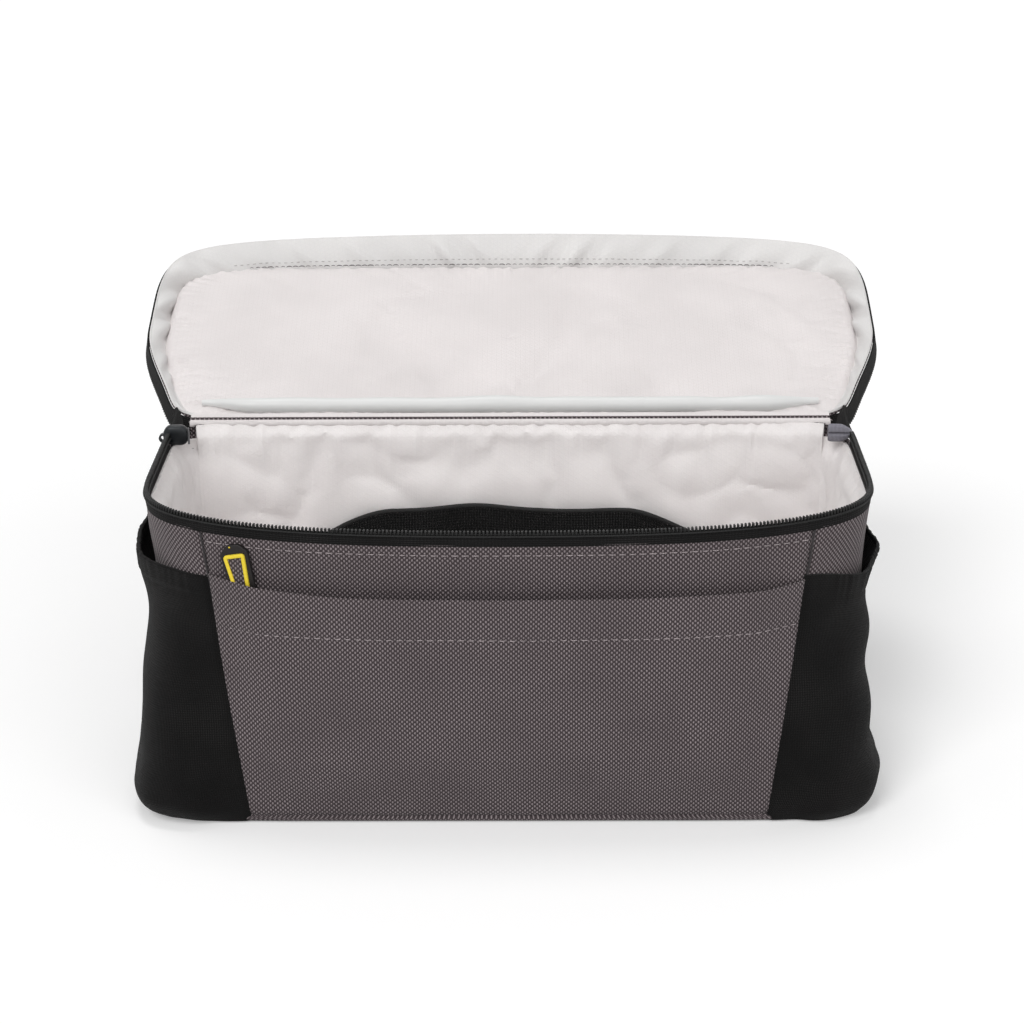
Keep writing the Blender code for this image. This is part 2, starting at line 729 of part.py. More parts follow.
# The tab lies along the front panel and leans, with its foot tucked into the slip pocket.
def build_front_tab():
    place = place_at_x(TAB_X, RIM_HEIGHT, True)
    top = rim_height(place) - TAB_TOP_DROP
    outset = GAP * 2 + TAB_THICKNESS / 2
    head = point_on(place, top, outset)
    foot = point_on(place, top - TAB_LENGTH, outset)
    up = (head - foot).normalized()
    outward = point_on(place, top, outset + FOAM) - head
    right = up.cross(outward).normalized()
    facing = Matrix((right, up, right.cross(up))).transposed().to_4x4()
    frame = Matrix.Translation(head) @ facing @ Matrix.Rotation(radians(TAB_LEAN), 4, "Z")
    rim_top = TAB_SLOT_DROP - TAB_RIM_WIDTH
    rim_foot = TAB_LENGTH - TAB_SLOT_MARGIN + TAB_RIM_WIDTH
    slot_foot = TAB_LENGTH - TAB_SLOT_MARGIN
    slot = hanging_outline(TAB_SLOT_WIDTH, TAB_SLOT_FOOT_WIDTH, TAB_SLOT_DROP, slot_foot, TAB_SLOT_CORNER)
    rim_add = 2 * TAB_RIM_WIDTH
    rim = hanging_outline(TAB_SLOT_WIDTH + rim_add, TAB_SLOT_FOOT_WIDTH + rim_add, rim_top, rim_foot,
                          TAB_RIM_CORNER)
    seat_add = rim_add + 2 * GAP
    well = hanging_outline(TAB_SLOT_WIDTH + seat_add, TAB_SLOT_FOOT_WIDTH + seat_add,
                           rim_top - GAP, rim_foot + GAP, TAB_WELL_CORNER)
    body = hanging_outline(TAB_TOP_WIDTH, TAB_FOOT_WIDTH, 0.0, TAB_LENGTH, TAB_CORNER)
    tab = add_outline("front_tab", body, TAB_THICKNESS / 2, TAB_BLACK, 0.5, hole=well)
    tab.matrix_world = frame
    ring = add_outline("front_tab_rim", rim, (TAB_THICKNESS + TAB_RIM_PROUD) / 2, TAB_YELLOW, 0.45, hole=slot)
    ring.matrix_world = frame @ Matrix.Translation((0, 0, TAB_RIM_PROUD / 2))


def add_block(size, center):
    bpy.ops.mesh.primitive_cube_add(size=1.0)
    block = bpy.context.object
    block.matrix_world = Matrix.Translation(center) @ Matrix.Diagonal((*size, 1.0))
    return block


def add_pin(radius, length, center):
    bpy.ops.mesh.primitive_cylinder_add(vertices=16, radius=radius, depth=length)
    pin = bpy.context.object
    pin.matrix_world = Matrix.Translation(center) @ Matrix.Rotation(radians(90), 4, "X")
    return pin


def circle(radius, steps=16):
    return [(radius * cos(2 * pi * step / steps), radius * sin(2 * pi * step / steps)) for step in range(steps)]


# The slider stands across the left end of the coil: two plates, the bridge between them,
# and two arms that carry the pin of the pull outside the bag.
def build_slider():
    wall_x, _ = wall_point(place_at_y(SLIDER_Y, RIM_HEIGHT), RIM_HEIGHT)
    center = Vector((wall_x + SLIDER_WIDTH / 2, SLIDER_Y, RIM_HEIGHT - TAPE_SHOW + SLIDER_HEIGHT / 2))
    half_width = SLIDER_WIDTH / 2
    half_height = SLIDER_HEIGHT / 2
    corners = [(-half_width, -half_height), (half_width, -half_height), (half_width, half_height),
               (-half_width, half_height)]
    outline = rounded(corners, SLIDER_CORNER)
    upright = Matrix.Rotation(radians(90), 4, "X")
    plate_shift = (SLIDER_DEPTH - SLIDER_PLATE) / 2
    pin_center = center + Vector((-half_width - LUG_REACH, 0, 0))
    solids = []
    for side in (-1, 1):
        plate = add_outline("zip_slider", outline, SLIDER_PLATE / 2, SLIDER_BLACK, 0.35, metallic=0.6)
        plate.matrix_world = Matrix.Translation(center + Vector((0, side * plate_shift, 0))) @ upright
        solids.append(plate)
        arm_size = (LUG_REACH + SLIDER_CORNER, SLIDER_PLATE * 0.9, LUG_RADIUS * 1.7)
        arm_middle = pin_center.x + arm_size[0] / 2
        solids.append(add_block(arm_size, (arm_middle, SLIDER_Y + side * plate_shift, center.z)))
    solids.append(add_block((SLIDER_BRIDGE, SLIDER_DEPTH - SLIDER_PLATE, SLIDER_BRIDGE), center))
    solids.append(add_pin(LUG_RADIUS, SLIDER_DEPTH - SLIDER_PLATE * 0.5, pin_center))
    join_solids(solids[0], solids[1:], "zip_slider")
    return pin_center


# The pull hangs from the slider's pin by an eye and swings out from the bag.
def build_pull(pin_center):
    eye_hole = LUG_RADIUS + GAP
    eye_radius = eye_hole + PULL_EYE_WALL
    eye_width = SLIDER_DEPTH - 2 * SLIDER_PLATE - 2 * GAP
    upright = Matrix.Rotation(radians(90), 4, "X")
    eye = add_outline("zip_pull", circle(eye_radius), eye_width / 2, SLIDER_BLACK, 0.4, hole=circle(eye_hole))
    eye.matrix_world = Matrix.Translation(pin_center) @ upright
    half = PULL_WIDTH / 2
    start = eye_hole + PULL_EYE_WALL * 0.4
    corners = [(-half, -PULL_LENGTH), (half, -PULL_LENGTH), (half, -start - half), (half * 0.5, -start),
               (-half * 0.5, -start), (-half, -start - half)]
    grip = add_outline("pull_grip", rounded(corners, PULL_CORNER), PULL_THICKNESS / 2, SLIDER_BLACK, 0.4)
    facing_side = Matrix((Vector((0, 1, 0)), Vector((0, 0, 1)), Vector((1, 0, 0)))).transposed().to_4x4()
    grip.matrix_world = Matrix.Translation(pin_center) @ facing_side
    pull = join_solids(eye, [grip], "zip_pull")
    axis = bpy.data.objects.new("zip_pull_axis", None)
    axis.empty_display_size = 0.01
    axis.location = pin_center
    collection.objects.link(axis)
    pull.parent = axis
    pull.matrix_parent_inverse = Matrix.Translation(-pin_center)


# A folded cloth tab covers the right zip end: two soft lips that meet in a crease and run to a point.
def build_end_tab():
    wall_x, _ = wall_point(1 - place_at_y(SLIDER_Y, RIM_HEIGHT), RIM_HEIGHT)
    center_z = RIM_HEIGHT - TAPE_SHOW + SLIDER_HEIGHT / 2
    half_height = SLIDER_HEIGHT / 2
    stations = [(0.0, 0.86), (0.12, 0.98), (0.5, 1.0), (0.8, 0.72), (0.95, 0.42), (1.0, 0.20)]
    lips = [(-0.10, 1.0), (-0.42, 0.82), (-0.50, 0.48), (-0.40, 0.14), (-0.12, 0.0), (-0.40, -0.14),
            (-0.50, -0.48), (-0.42, -0.82), (-0.10, -1.0), (0.42, -0.84), (0.50, 0.0), (0.42, 0.84)]
    rings = []
    for along, tall in stations:
        x = wall_x - END_TAB_LENGTH * (1 - along)
        rings.append([Vector((x, SLIDER_Y + depth * END_TAB_THICKNESS, center_z + rise * half_height * tall))
                      for depth, rise in lips])
    points = [point for ring in rings for point in ring]
    count = len(lips)
    faces = [tuple(reversed(range(count))), tuple(range(len(points) - count, len(points)))]
    for ring in range(len(rings) - 1):
        for step in range(count):
            here = ring * count + step
            after = ring * count + (step + 1) % count
            faces.append((here, after, after + count, here + count))
    add_mesh("zip_end_tab", points, faces, FOLDED_GREY, 0.6, smooth_angle=70.0)


# Each strap is sewn on at the top, runs out round the handlebar and closes on its patch.
def strap_path():
    sewn_y = HALF_DEPTH + GAP + STRAP / 2
    closed_y = HALF_DEPTH + GAP + PATCH + GAP + STRAP / 2
    loop_y = sewn_y + STRAP_REACH
    loop_top = STRAP_TOP - STRAP_FLANGE
    middle = loop_top - STRAP_LOOP_RADIUS
    path = [(sewn_y, STRAP_TOP), (sewn_y, loop_top + STRAP), (sewn_y + STRAP, loop_top)]
    for step in range(LOOP_STEPS + 1):
        turn = radians(90 - 180 * step / LOOP_STEPS)
        path.append((loop_y + STRAP_LOOP_RADIUS * cos(turn), middle + STRAP_LOOP_RADIUS * sin(turn)))
    foot = loop_top - 2 * STRAP_LOOP_RADIUS
    path += [(closed_y + STRAP, foot), (closed_y, foot - STRAP), (closed_y, foot - STRAP - PATCH_HEIGHT)]
    return path


def build_straps():
    half = STRAP_WIDTH / 2
    patch_top = STRAP_TOP - STRAP_FLANGE - 2 * STRAP_LOOP_RADIUS - STRAP
    for side, x in (("left", -STRAP_X), ("right", STRAP_X)):
        rows = [[Vector((x + half, y, z)), Vector((x - half, y, z))] for y, z in reversed(strap_path())]
        strap = add_sheet("handlebar_strap_" + side, rows, STRAP, STRETCH_BLACK, 0.75)
        strap.modifiers["Thickness"].offset = 0.0
        face_y = HALF_DEPTH + GAP + PATCH
        corners = [(x + half, patch_top - PATCH_HEIGHT), (x - half, patch_top - PATCH_HEIGHT),
                   (x - half, patch_top), (x + half, patch_top)]
        add_plate("strap_patch_" + side, [Vector((px, face_y, pz)) for px, pz in corners], PATCH,
                  STRETCH_BLACK, 0.9)


# A mesh copy of an object as it is evaluated, in world space, with its caps welded
def baked(piece):
    bpy.context.view_layer.update()
    evaluated = piece.evaluated_get(bpy.context.evaluated_depsgraph_get())
    mesh = bpy.data.meshes.new_from_object(evaluated)
    mesh.transform(piece.matrix_world)
    weld = bmesh.new()
    weld.from_mesh(mesh)
    bmesh.ops.remove_doubles(weld, verts=weld.verts, dist=0.00001)
    bmesh.ops.recalc_face_normals(weld, faces=weld.faces)
    weld.to_mesh(mesh)
    weld.free()
    return mesh


# Joins solids that cross into one piece, with the first one's material.
def join_solids(first, others, name):
    material = first.data.materials[0]
    whole = bpy.data.objects.new(name + "_whole", baked(first))
    collection.objects.link(whole)
    bpy.data.objects.remove(first)
    for other in others:
        adder = bpy.data.objects.new("adder", baked(other))
        collection.objects.link(adder)
        bpy.data.objects.remove(other)
        union = whole.modifiers.new("Join", "BOOLEAN")
        union.operation = "UNION"
        union.object = adder
        joined = baked(whole)
        whole.modifiers.clear()
        whole.data = joined
        bpy.data.objects.remove(adder)
    whole.name = name
    whole.data.materials.clear()
    whole.data.materials.append(material)
    return whole


def main():
    build_shell()
    build_padding()
    build_lining()
    build_inner_pocket()
    build_front_pocket()
    build_side_pockets()
    build_bag_zip()
    build_lid()
    build_hinge_strip()
    build_front_tab()
    build_pull(build_slider())
    build_end_tab()
    build_straps()


for old in list(bpy.data.objects):
    bpy.data.objects.remove(old)
collection = bpy.data.collections.new("stroller_organizer")
bpy.context.scene.collection.children.link(collection)
main()
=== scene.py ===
from math import atan2, cos, pi, radians, sin

import bmesh
import bpy
import numpy as np
from mathutils import Matrix, Vector


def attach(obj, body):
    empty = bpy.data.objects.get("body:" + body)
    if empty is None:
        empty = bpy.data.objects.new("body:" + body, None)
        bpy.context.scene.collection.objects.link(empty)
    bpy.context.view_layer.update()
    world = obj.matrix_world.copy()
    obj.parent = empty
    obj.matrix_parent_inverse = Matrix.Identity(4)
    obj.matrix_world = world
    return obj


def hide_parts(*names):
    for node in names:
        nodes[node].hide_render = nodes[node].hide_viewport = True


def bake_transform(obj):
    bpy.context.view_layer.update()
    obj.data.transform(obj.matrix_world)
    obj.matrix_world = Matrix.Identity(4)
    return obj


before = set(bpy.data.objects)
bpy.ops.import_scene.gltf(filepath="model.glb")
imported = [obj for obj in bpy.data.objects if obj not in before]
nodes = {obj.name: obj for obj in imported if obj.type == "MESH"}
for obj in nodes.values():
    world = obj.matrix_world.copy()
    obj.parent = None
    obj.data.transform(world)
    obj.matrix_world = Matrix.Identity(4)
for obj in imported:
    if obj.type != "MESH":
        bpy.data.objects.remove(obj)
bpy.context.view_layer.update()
print("frame loaded:", len(nodes), "solids")

# Sizes of the whole bag in metres, as in the CAD
bag = {
    "length": 0.358, "depth": 0.156, "rim": 0.158, "rimSag": 0.004, "frontBulge": 0.003,
    "rimCorner": 3.7, "footCorner": 9.0, "backCorner": 12.0, "waist": 0.004,
    "waistFade": 0.045, "baseSeam": 0.0036, "tuck": 0.0014,
    "shell": 0.0010, "foam": 0.0028, "liner": 0.0008, "gap": 0.0003,
    "seamTopX": 0.148, "seamFootX": 0.127, "backSeamX": 0.1660, "tapeShow": 0.0072,
}
halfLength = bag["length"] / 2
halfDepth = bag["depth"] / 2
gap = bag["gap"]
linerInset = bag["shell"] + gap + bag["foam"] + gap
hingeY = halfDepth
hingeZ = bag["rim"] + gap


# ---- plan of the walls

def smoothStep(value):
    value = np.clip(value, 0.0, 1.0)
    return value * value * (3 - 2 * value)


def bell(distance, width):
    return np.exp(-(distance / width) ** 2)


# a few long and short waves, the same on every run
def ripples(u, v, size, seed, lean=0.0, spread=pi, waves=14):
    rng = np.random.default_rng(seed)
    total = np.zeros(np.broadcast(u, v).shape)
    for _ in range(waves):
        angle = lean + rng.uniform(-spread / 2, spread / 2)
        turns = 2 * pi / size * rng.uniform(0.6, 1.6)
        total += np.sin(turns * (u * cos(angle) + v * sin(angle)) + rng.uniform(0, 2 * pi))
    return total / waves ** 0.5


# the open lid grows wider away from its hinge
def flaring(y, flare):
    return 1 + flare * smoothStep((halfDepth - y) / 0.085)


# rounded rectangle from the middle of the back round by the left side: points, normals and run
def outlinePlan(halfX, halfY, frontPower, backPower, bulge, flare=0.0):
    turn = np.linspace(pi / 2, pi / 2 + 2 * pi, 1441)
    power = np.where(np.sin(turn) < 0, frontPower, backPower)
    reach = (np.abs(np.cos(turn) / halfX) ** power + np.abs(np.sin(turn) / halfY) ** power) ** (-1 / power)
    x, y = reach * np.cos(turn), reach * np.sin(turn)
    y = y - bulge * np.clip(-y / halfDepth, 0, 1) ** 2 * (1 - (x / halfLength) ** 2)
    x = x * flaring(y, flare)
    run = np.concatenate([[0.0], np.cumsum(np.hypot(np.diff(x), np.diff(y)))])
    dx, dy = np.gradient(x, run), np.gradient(y, run)
    size = np.hypot(dx, dy)
    return x, y, dy / size, -dx / size, run


planCache = {}


# the walls are round at the rim and square at the foot
def planAt(height):
    key = round(float(height), 5)
    if key not in planCache:
        waist = bag["waist"] * smoothStep((bag["rim"] - height) / bag["waistFade"])
        low = smoothStep((bag["rim"] - height) / bag["rim"]) ** 1.4
        frontPower = bag["rimCorner"] + (bag["footCorner"] - bag["rimCorner"]) * low
        bulge = bag["frontBulge"] * smoothStep(height / (bag["rim"] / 2))
        planCache[key] = outlinePlan(halfLength - waist, halfDepth - waist * 0.4, frontPower, bag["backCorner"],
                                     bulge)
    return planCache[key]


def pointsOn(plan, places, outset=0.0, z=0.0):
    x, y, nx, ny, run = plan
    at = (np.asarray(places) % 1.0) * run[-1]
    px = np.interp(at, run, x) + outset * np.interp(at, run, nx)
    py = np.interp(at, run, y) + outset * np.interp(at, run, ny)
    return np.stack([px, py, np.broadcast_to(z, px.shape)], -1)


def normalsOn(plan, places):
    x, y, nx, ny, run = plan
    at = (np.asarray(places) % 1.0) * run[-1]
    return np.stack([np.interp(at, run, nx), np.interp(at, run, ny), np.zeros(at.shape)], -1)


def placeOnSide(plan, wanted):
    x, y, _, _, run = plan
    left = (x < 0) & (run < run[-1] / 2)
    order = np.argsort(y[left])
    return float(np.interp(wanted, y[left][order], (run[left] / run[-1])[order]))


def wallPoints(places, height, outset=0.0, z=None):
    return pointsOn(planAt(height), places, outset, height if z is None else z)


def wallNormals(places, height):
    return normalsOn(planAt(height), places)


def placeAtX(wanted, height, atFront):
    x, y, _, _, run = planAt(height)
    chosen = (y < 0) if atFront else (y > 0) & (x <= 0) & (run < run[-1] / 2)
    order = np.argsort(x[chosen])
    return float(np.interp(wanted, x[chosen][order], (run[chosen] / run[-1])[order]))


def placeAtY(wanted, height):
    return placeOnSide(planAt(height), wanted)


def placeOnFront(plan, wanted):
    x, y, _, _, run = plan
    chosen = y < 0
    order = np.argsort(x[chosen])
    return float(np.interp(wanted, x[chosen][order], (run[chosen] / run[-1])[order]))


def rimHeight(places):
    at = wallPoints(places, bag["rim"])
    sag = bag["rimSag"] * smoothStep(-at[..., 1] / halfDepth)
    return bag["rim"] - sag * (1 - (at[..., 0] / halfLength) ** 2)


def frontSeam(height):
    lean = bag["seamFootX"] + (bag["seamTopX"] - bag["seamFootX"]) * height / bag["rim"]
    return placeAtX(-lean, height, True)


def backSeam(height):
    return placeAtX(-bag["backSeamX"], height, False)


# first and last place of one wall at a height
def wallSpan(wall, height, margin=0.0003):
    edge = margin / planAt(height)[4][-1]
    front, back = frontSeam(height), backSeam(height)
    return {"front": (front + edge, 1 - front - edge), "back": (-back + edge, back - edge),
            "left": (back + edge, front - edge), "right": (1 - front + edge, 1 - back - edge)}[wall]


# ---- mesh helpers

def newObject(name, mesh, finish=None):
    piece = bpy.data.objects.new(name, mesh)
    bpy.context.scene.collection.objects.link(piece)
    if finish is not None:
        mesh.materials.clear()
        mesh.materials.append(finish)
    return piece


def gridNormals(rows, ring=False):
    if ring:
        wide = np.concatenate([rows[:, -2:-1], rows, rows[:, 1:2]], 1)
        across = np.gradient(wide, axis=1)[:, 1:-1]
    else:
        across = np.gradient(rows, axis=1)
    up = np.gradient(rows, axis=0)
    normals = np.cross(across, up)
    return normals / np.maximum(np.linalg.norm(normals, axis=-1, keepdims=True), 1e-12)


def gridUv(rows):
    along = np.concatenate([np.zeros((rows.shape[0], 1)),
                            np.cumsum(np.linalg.norm(np.diff(rows, axis=1), axis=-1), 1)], 1)
    along = along - along[:, -1:] / 2
    up = np.concatenate([np.zeros((1, rows.shape[1])),
                         np.cumsum(np.linalg.norm(np.diff(rows, axis=0), axis=-1), 0)], 0)
    middle = up[:, up.shape[1] // 2:up.shape[1] // 2 + 1]
    return np.stack([along, np.broadcast_to(middle, along.shape)], -1)


def meshFrom(name, points, faces, uv=None, sharp=40.0):
    mesh = bpy.data.meshes.new(name)
    mesh.from_pydata([tuple(p) for p in points], [], faces)
    if uv is not None:
        layer = mesh.uv_layers.new(name="clothMap")
        corner = np.zeros(len(mesh.loops), int)
        mesh.loops.foreach_get("vertex_index", corner)
        layer.data.foreach_set("uv", np.asarray(uv, np.float32)[corner].ravel())
    mesh.validate()
    mesh.shade_smooth()
    mesh.set_sharp_from_angle(angle=radians(sharp))
    return mesh


def gridFaces(height, width, start=0, turned=False):
    faces = []
    for row in range(height - 1):
        for column in range(width - 1):
            here = start + row * width + column
            quad = (here, here + 1, here + width + 1, here + width)
            faces.append(quad[::-1] if turned else quad)
    return faces


# a closed cloth slab between two grids of points. The outer grid's normals are across x up.
# In a ring the last column repeats the first, so that the cloth map can run on.
def slab(name, outer, inner, finish, uv=None, ring=False, sharp=40.0, round=0.0):
    outer, inner = np.asarray(outer, float), np.asarray(inner, float)
    height, width = outer.shape[:2]
    count = height * width
    faces = gridFaces(height, width) + gridFaces(height, width, count, True)
    for column in range(width - 1):
        for row, flip in ((0, False), (height - 1, True)):
            a = row * width + column
            quad = (a + count, a + 1 + count, a + 1, a)
            faces.append(quad[::-1] if flip else quad)
    if not ring:
        for row in range(height - 1):
            for column, flip in ((0, True), (width - 1, False)):
                a = row * width + column
                quad = (a + count, a + width + count, a + width, a)
                faces.append(quad[::-1] if flip else quad)
    if uv is None:
        uv = gridUv(outer)
    uv = np.asarray(uv, float).reshape(-1, 2)
    points = np.concatenate([outer.reshape(-1, 3), inner.reshape(-1, 3)])
    mesh = meshFrom(name, points, faces, np.concatenate([uv, uv]), sharp)
    piece = newObject(name, mesh, finish)
    if ring:
        weld(piece, 0.000004)
    if round:
        bevel = piece.modifiers.new("roundEdge", "BEVEL")
        bevel.width = round
        bevel.segments = 2
        bevel.limit_method = "ANGLE"
        bevel.angle_limit = radians(55)
        settle(piece)
    return piece


def clothSlab(name, rows, thickness, finish, **more):
    rows = np.asarray(rows, float)
    return slab(name, rows, rows - gridNormals(rows, more.get("ring", False)) * thickness, finish, **more)


def weld(piece, distance):
    work = bmesh.new()
    work.from_mesh(piece.data)
    bmesh.ops.remove_doubles(work, verts=work.verts, dist=distance)
    work.to_mesh(piece.data)
    work.free()


# bakes every modifier of a piece into its mesh
def settle(piece, sharp=40.0):
    bpy.context.view_layer.update()
    mesh = bpy.data.meshes.new_from_object(piece.evaluated_get(bpy.context.evaluated_depsgraph_get()))
    piece.modifiers.clear()
    old = piece.data
    piece.data = mesh
    mesh.name = piece.name
    if old.users == 0 and isinstance(old, bpy.types.Mesh):
        bpy.data.meshes.remove(old)
    if sharp is not None:
        mesh.shade_smooth()
        mesh.set_sharp_from_angle(angle=radians(sharp))
    return piece


def tube(name, points, radius, finish, sides=10, closed=False):
    curve = bpy.data.curves.new(name, "CURVE")
    curve.dimensions = "3D"
    curve.bevel_depth = 1.0
    curve.bevel_resolution = max(sides // 2 - 1, 1)
    curve.use_fill_caps = True
    spline = curve.splines.new("POLY")
    spline.points.add(len(points) - 1)
    spline.use_cyclic_u = closed
    radii = np.broadcast_to(radius, (len(points),))
    for target, point, size in zip(spline.points, points, radii):
        target.co = (*[float(c) for c in point], 1.0)
        target.radius = float(size)
    shape = bpy.data.objects.new(name + "Curve", curve)
    bpy.context.scene.collection.objects.link(shape)
    bpy.context.view_layer.update()
    mesh = bpy.data.meshes.new_from_object(shape.evaluated_get(bpy.context.evaluated_depsgraph_get()))
    bpy.data.objects.remove(shape)
    bpy.data.curves.remove(curve)
    mesh.name = name
    piece = newObject(name, mesh, finish)
    weld(piece, 0.00001)
    piece.data.shade_smooth()
    piece.data.set_sharp_from_angle(angle=radians(50))
    return piece


# lets a grid of cloth swell and wrinkle between its pinned points
def puff(rows, pinned, pressure=1.5, slack=0.02, cap=0.002, frames=16, stiff=12.0, bend=0.05):
    rows = np.asarray(rows, float)
    height, width = rows.shape[:2]
    mesh = bpy.data.meshes.new("clothTrial")
    mesh.from_pydata([tuple(p) for p in rows.reshape(-1, 3)], [], gridFaces(height, width))
    trial = newObject("clothTrial", mesh)
    group = trial.vertex_groups.new(name="held")
    group.add([int(i) for i in np.flatnonzero(np.asarray(pinned).ravel())], 1.0, "REPLACE")
    cloth = trial.modifiers.new("clothTrial", "CLOTH")
    settings = cloth.settings
    settings.quality = 6
    settings.mass = 0.15
    settings.tension_stiffness = stiff
    settings.compression_stiffness = stiff
    settings.shear_stiffness = stiff / 3
    settings.bending_stiffness = bend
    settings.use_pressure = True
    settings.uniform_pressure_force = pressure
    settings.shrink_min = -slack
    settings.vertex_group_mass = "held"
    settings.effector_weights.gravity = 0.0
    cloth.point_cache.frame_start = 1
    cloth.point_cache.frame_end = frames
    for step in range(1, frames + 1):
        bpy.context.scene.frame_set(step)
    done = trial.evaluated_get(bpy.context.evaluated_depsgraph_get()).to_mesh()
    moved = np.zeros(height * width * 3)
    done.vertices.foreach_get("co", moved)
    moved = moved.reshape(rows.shape) - rows
    far = np.linalg.norm(moved, axis=-1, keepdims=True)
    moved = moved * (cap * np.tanh(far / cap) / np.maximum(far, 1e-9))
    bpy.data.objects.remove(trial)
    bpy.data.meshes.remove(mesh)
    bpy.context.scene.frame_set(1)
    return rows + moved


# ---- materials

def addNode(tree, kind, values=None, **settings):
    made = tree.nodes.new(kind)
    for key, value in settings.items():
        setattr(made, key, value)
    for key, value in (values or {}).items():
        if isinstance(value, bpy.types.NodeSocket):
            tree.links.new(value, made.inputs[key])
        else:
            made.inputs[key].default_value = value
    return made


def math(tree, operation, a, b=0.0, c=0.0):
    values = {0: a, 1: b}
    if operation in ("MULTIPLY_ADD", "SMOOTH_MIN", "WRAP"):
        values[2] = c
    return addNode(tree, "ShaderNodeMath", values, operation=operation).outputs[0]


def rampBetween(tree, value, low, high, toLow=0.0, toHigh=1.0):
    return addNode(tree, "ShaderNodeMapRange", {"Value": value, "From Min": low, "From Max": high,
                                                "To Min": toLow, "To Max": toHigh},
                   interpolation_type="SMOOTHSTEP").outputs["Result"]


def mixColor(tree, factor, first, second):
    mixer = addNode(tree, "ShaderNodeMix", data_type="RGBA")
    for index, value in ((0, factor), (6, first), (7, second)):
        if isinstance(value, bpy.types.NodeSocket):
            tree.links.new(value, mixer.inputs[index])
        else:
            mixer.inputs[index].default_value = value if index == 0 else (*value, 1.0)
    return mixer.outputs[2]


def newFinish(name, roughness, sheen=0.0, specular=0.35, metallic=0.0):
    finish = bpy.data.materials.new(name)
    finish.use_nodes = True
    tree = finish.node_tree
    shader = tree.nodes["Principled BSDF"]
    shader.inputs["Roughness"].default_value = roughness
    shader.inputs["Metallic"].default_value = metallic
    shader.inputs["Specular IOR Level"].default_value = specular
    if sheen:
        shader.inputs["Sheen Weight"].default_value = sheen
        shader.inputs["Sheen Roughness"].default_value = 0.4
    return finish, tree, shader


def clothCoordinates(tree):
    place = addNode(tree, "ShaderNodeUVMap", uv_map="clothMap")
    parts = addNode(tree, "ShaderNodeSeparateXYZ", {0: place.outputs[0]})
    return place.outputs[0], parts.outputs[0], parts.outputs[1]


def objectCoordinates(tree):
    return addNode(tree, "ShaderNodeTexCoord").outputs["Object"]


def noise(tree, where, scale, detail=3.0, roughness=0.5):
    return addNode(tree, "ShaderNodeTexNoise", {"Vector": where, "Scale": scale, "Detail": detail,
                                                "Roughness": roughness}).outputs["Fac"]


def relief(tree, shader, height, distance, strength=1.0):
    bumpNode = addNode(tree, "ShaderNodeBump", {"Height": height, "Strength": strength, "Distance": distance})
    tree.links.new(bumpNode.outputs[0], shader.inputs["Normal"])


# two-tone basket weave, with its dots standing in diagonal rows
def weaveFinish(name, dark, light, pitch=0.0024, depth=0.00026):
    finish, tree, shader = newFinish(name, 0.88, sheen=0.15, specular=0.2)
    where, u, v = clothCoordinates(tree)
    wander = noise(tree, where, 55.0, 2.0)
    shiftU = math(tree, "MULTIPLY_ADD", wander, 0.0010, u)
    shiftV = math(tree, "MULTIPLY_ADD", wander, -0.0007, v)
    waveU = math(tree, "COSINE", math(tree, "MULTIPLY", shiftU, 2 * pi / pitch))
    waveV = math(tree, "COSINE", math(tree, "MULTIPLY", shiftV, 2 * pi / pitch))
    double = math(tree, "COSINE", math(tree, "MULTIPLY", shiftU, 4 * pi / pitch))
    dots = math(tree, "MULTIPLY_ADD", double, 0.30, math(tree, "MULTIPLY", waveU, waveV))
    yarn = noise(tree, where, 1400.0, 2.0, 0.6)
    mask = rampBetween(tree, math(tree, "MULTIPLY_ADD", yarn, 0.5, dots), -0.10, 1.15)
    color = mixColor(tree, mask, dark, light)
    patch = rampBetween(tree, noise(tree, where, 30.0, 4.0), 0.25, 0.75, 0.0, 0.22)
    tree.links.new(mixColor(tree, patch, color, dark), shader.inputs["Base Color"])
    relief(tree, shader, math(tree, "MULTIPLY_ADD", yarn, 0.5, dots), depth)
    return finish


# pale lining with a faint ripstop grid, a soft sheen and broad patches of painted shade
def liningFinish(name, pale, shade, roughness=0.5):
    finish, tree, shader = newFinish(name, roughness, sheen=0.1, specular=0.35)
    where, u, v = clothCoordinates(tree)
    lines = None
    for angle in (0.0, 60.0, 120.0):
        across = math(tree, "MULTIPLY_ADD", u, cos(radians(angle)), math(tree, "MULTIPLY", v, sin(radians(angle))))
        wave = math(tree, "COSINE", math(tree, "MULTIPLY", across, 2 * pi / 0.0026))
        lines = wave if lines is None else math(tree, "MAXIMUM", lines, wave)
    grid = rampBetween(tree, lines, 0.80, 1.0)
    fine = noise(tree, where, 900.0, 2.0, 0.6)
    # broad noise patches mixed towards the shade colour are painted shade that stands in for soft folds in the cloth
    patch = rampBetween(tree, noise(tree, where, 16.0, 3.0), 0.3, 0.7)
    color = mixColor(tree, math(tree, "MULTIPLY", patch, 0.55), pale, shade)
    color = mixColor(tree, math(tree, "MULTIPLY", grid, 0.22), color, shade)
    tree.links.new(color, shader.inputs["Base Color"])
    height = math(tree, "MULTIPLY_ADD", fine, 0.6, math(tree, "MULTIPLY", grid, 0.5))
    relief(tree, shader, height, 0.00012)
    return finish
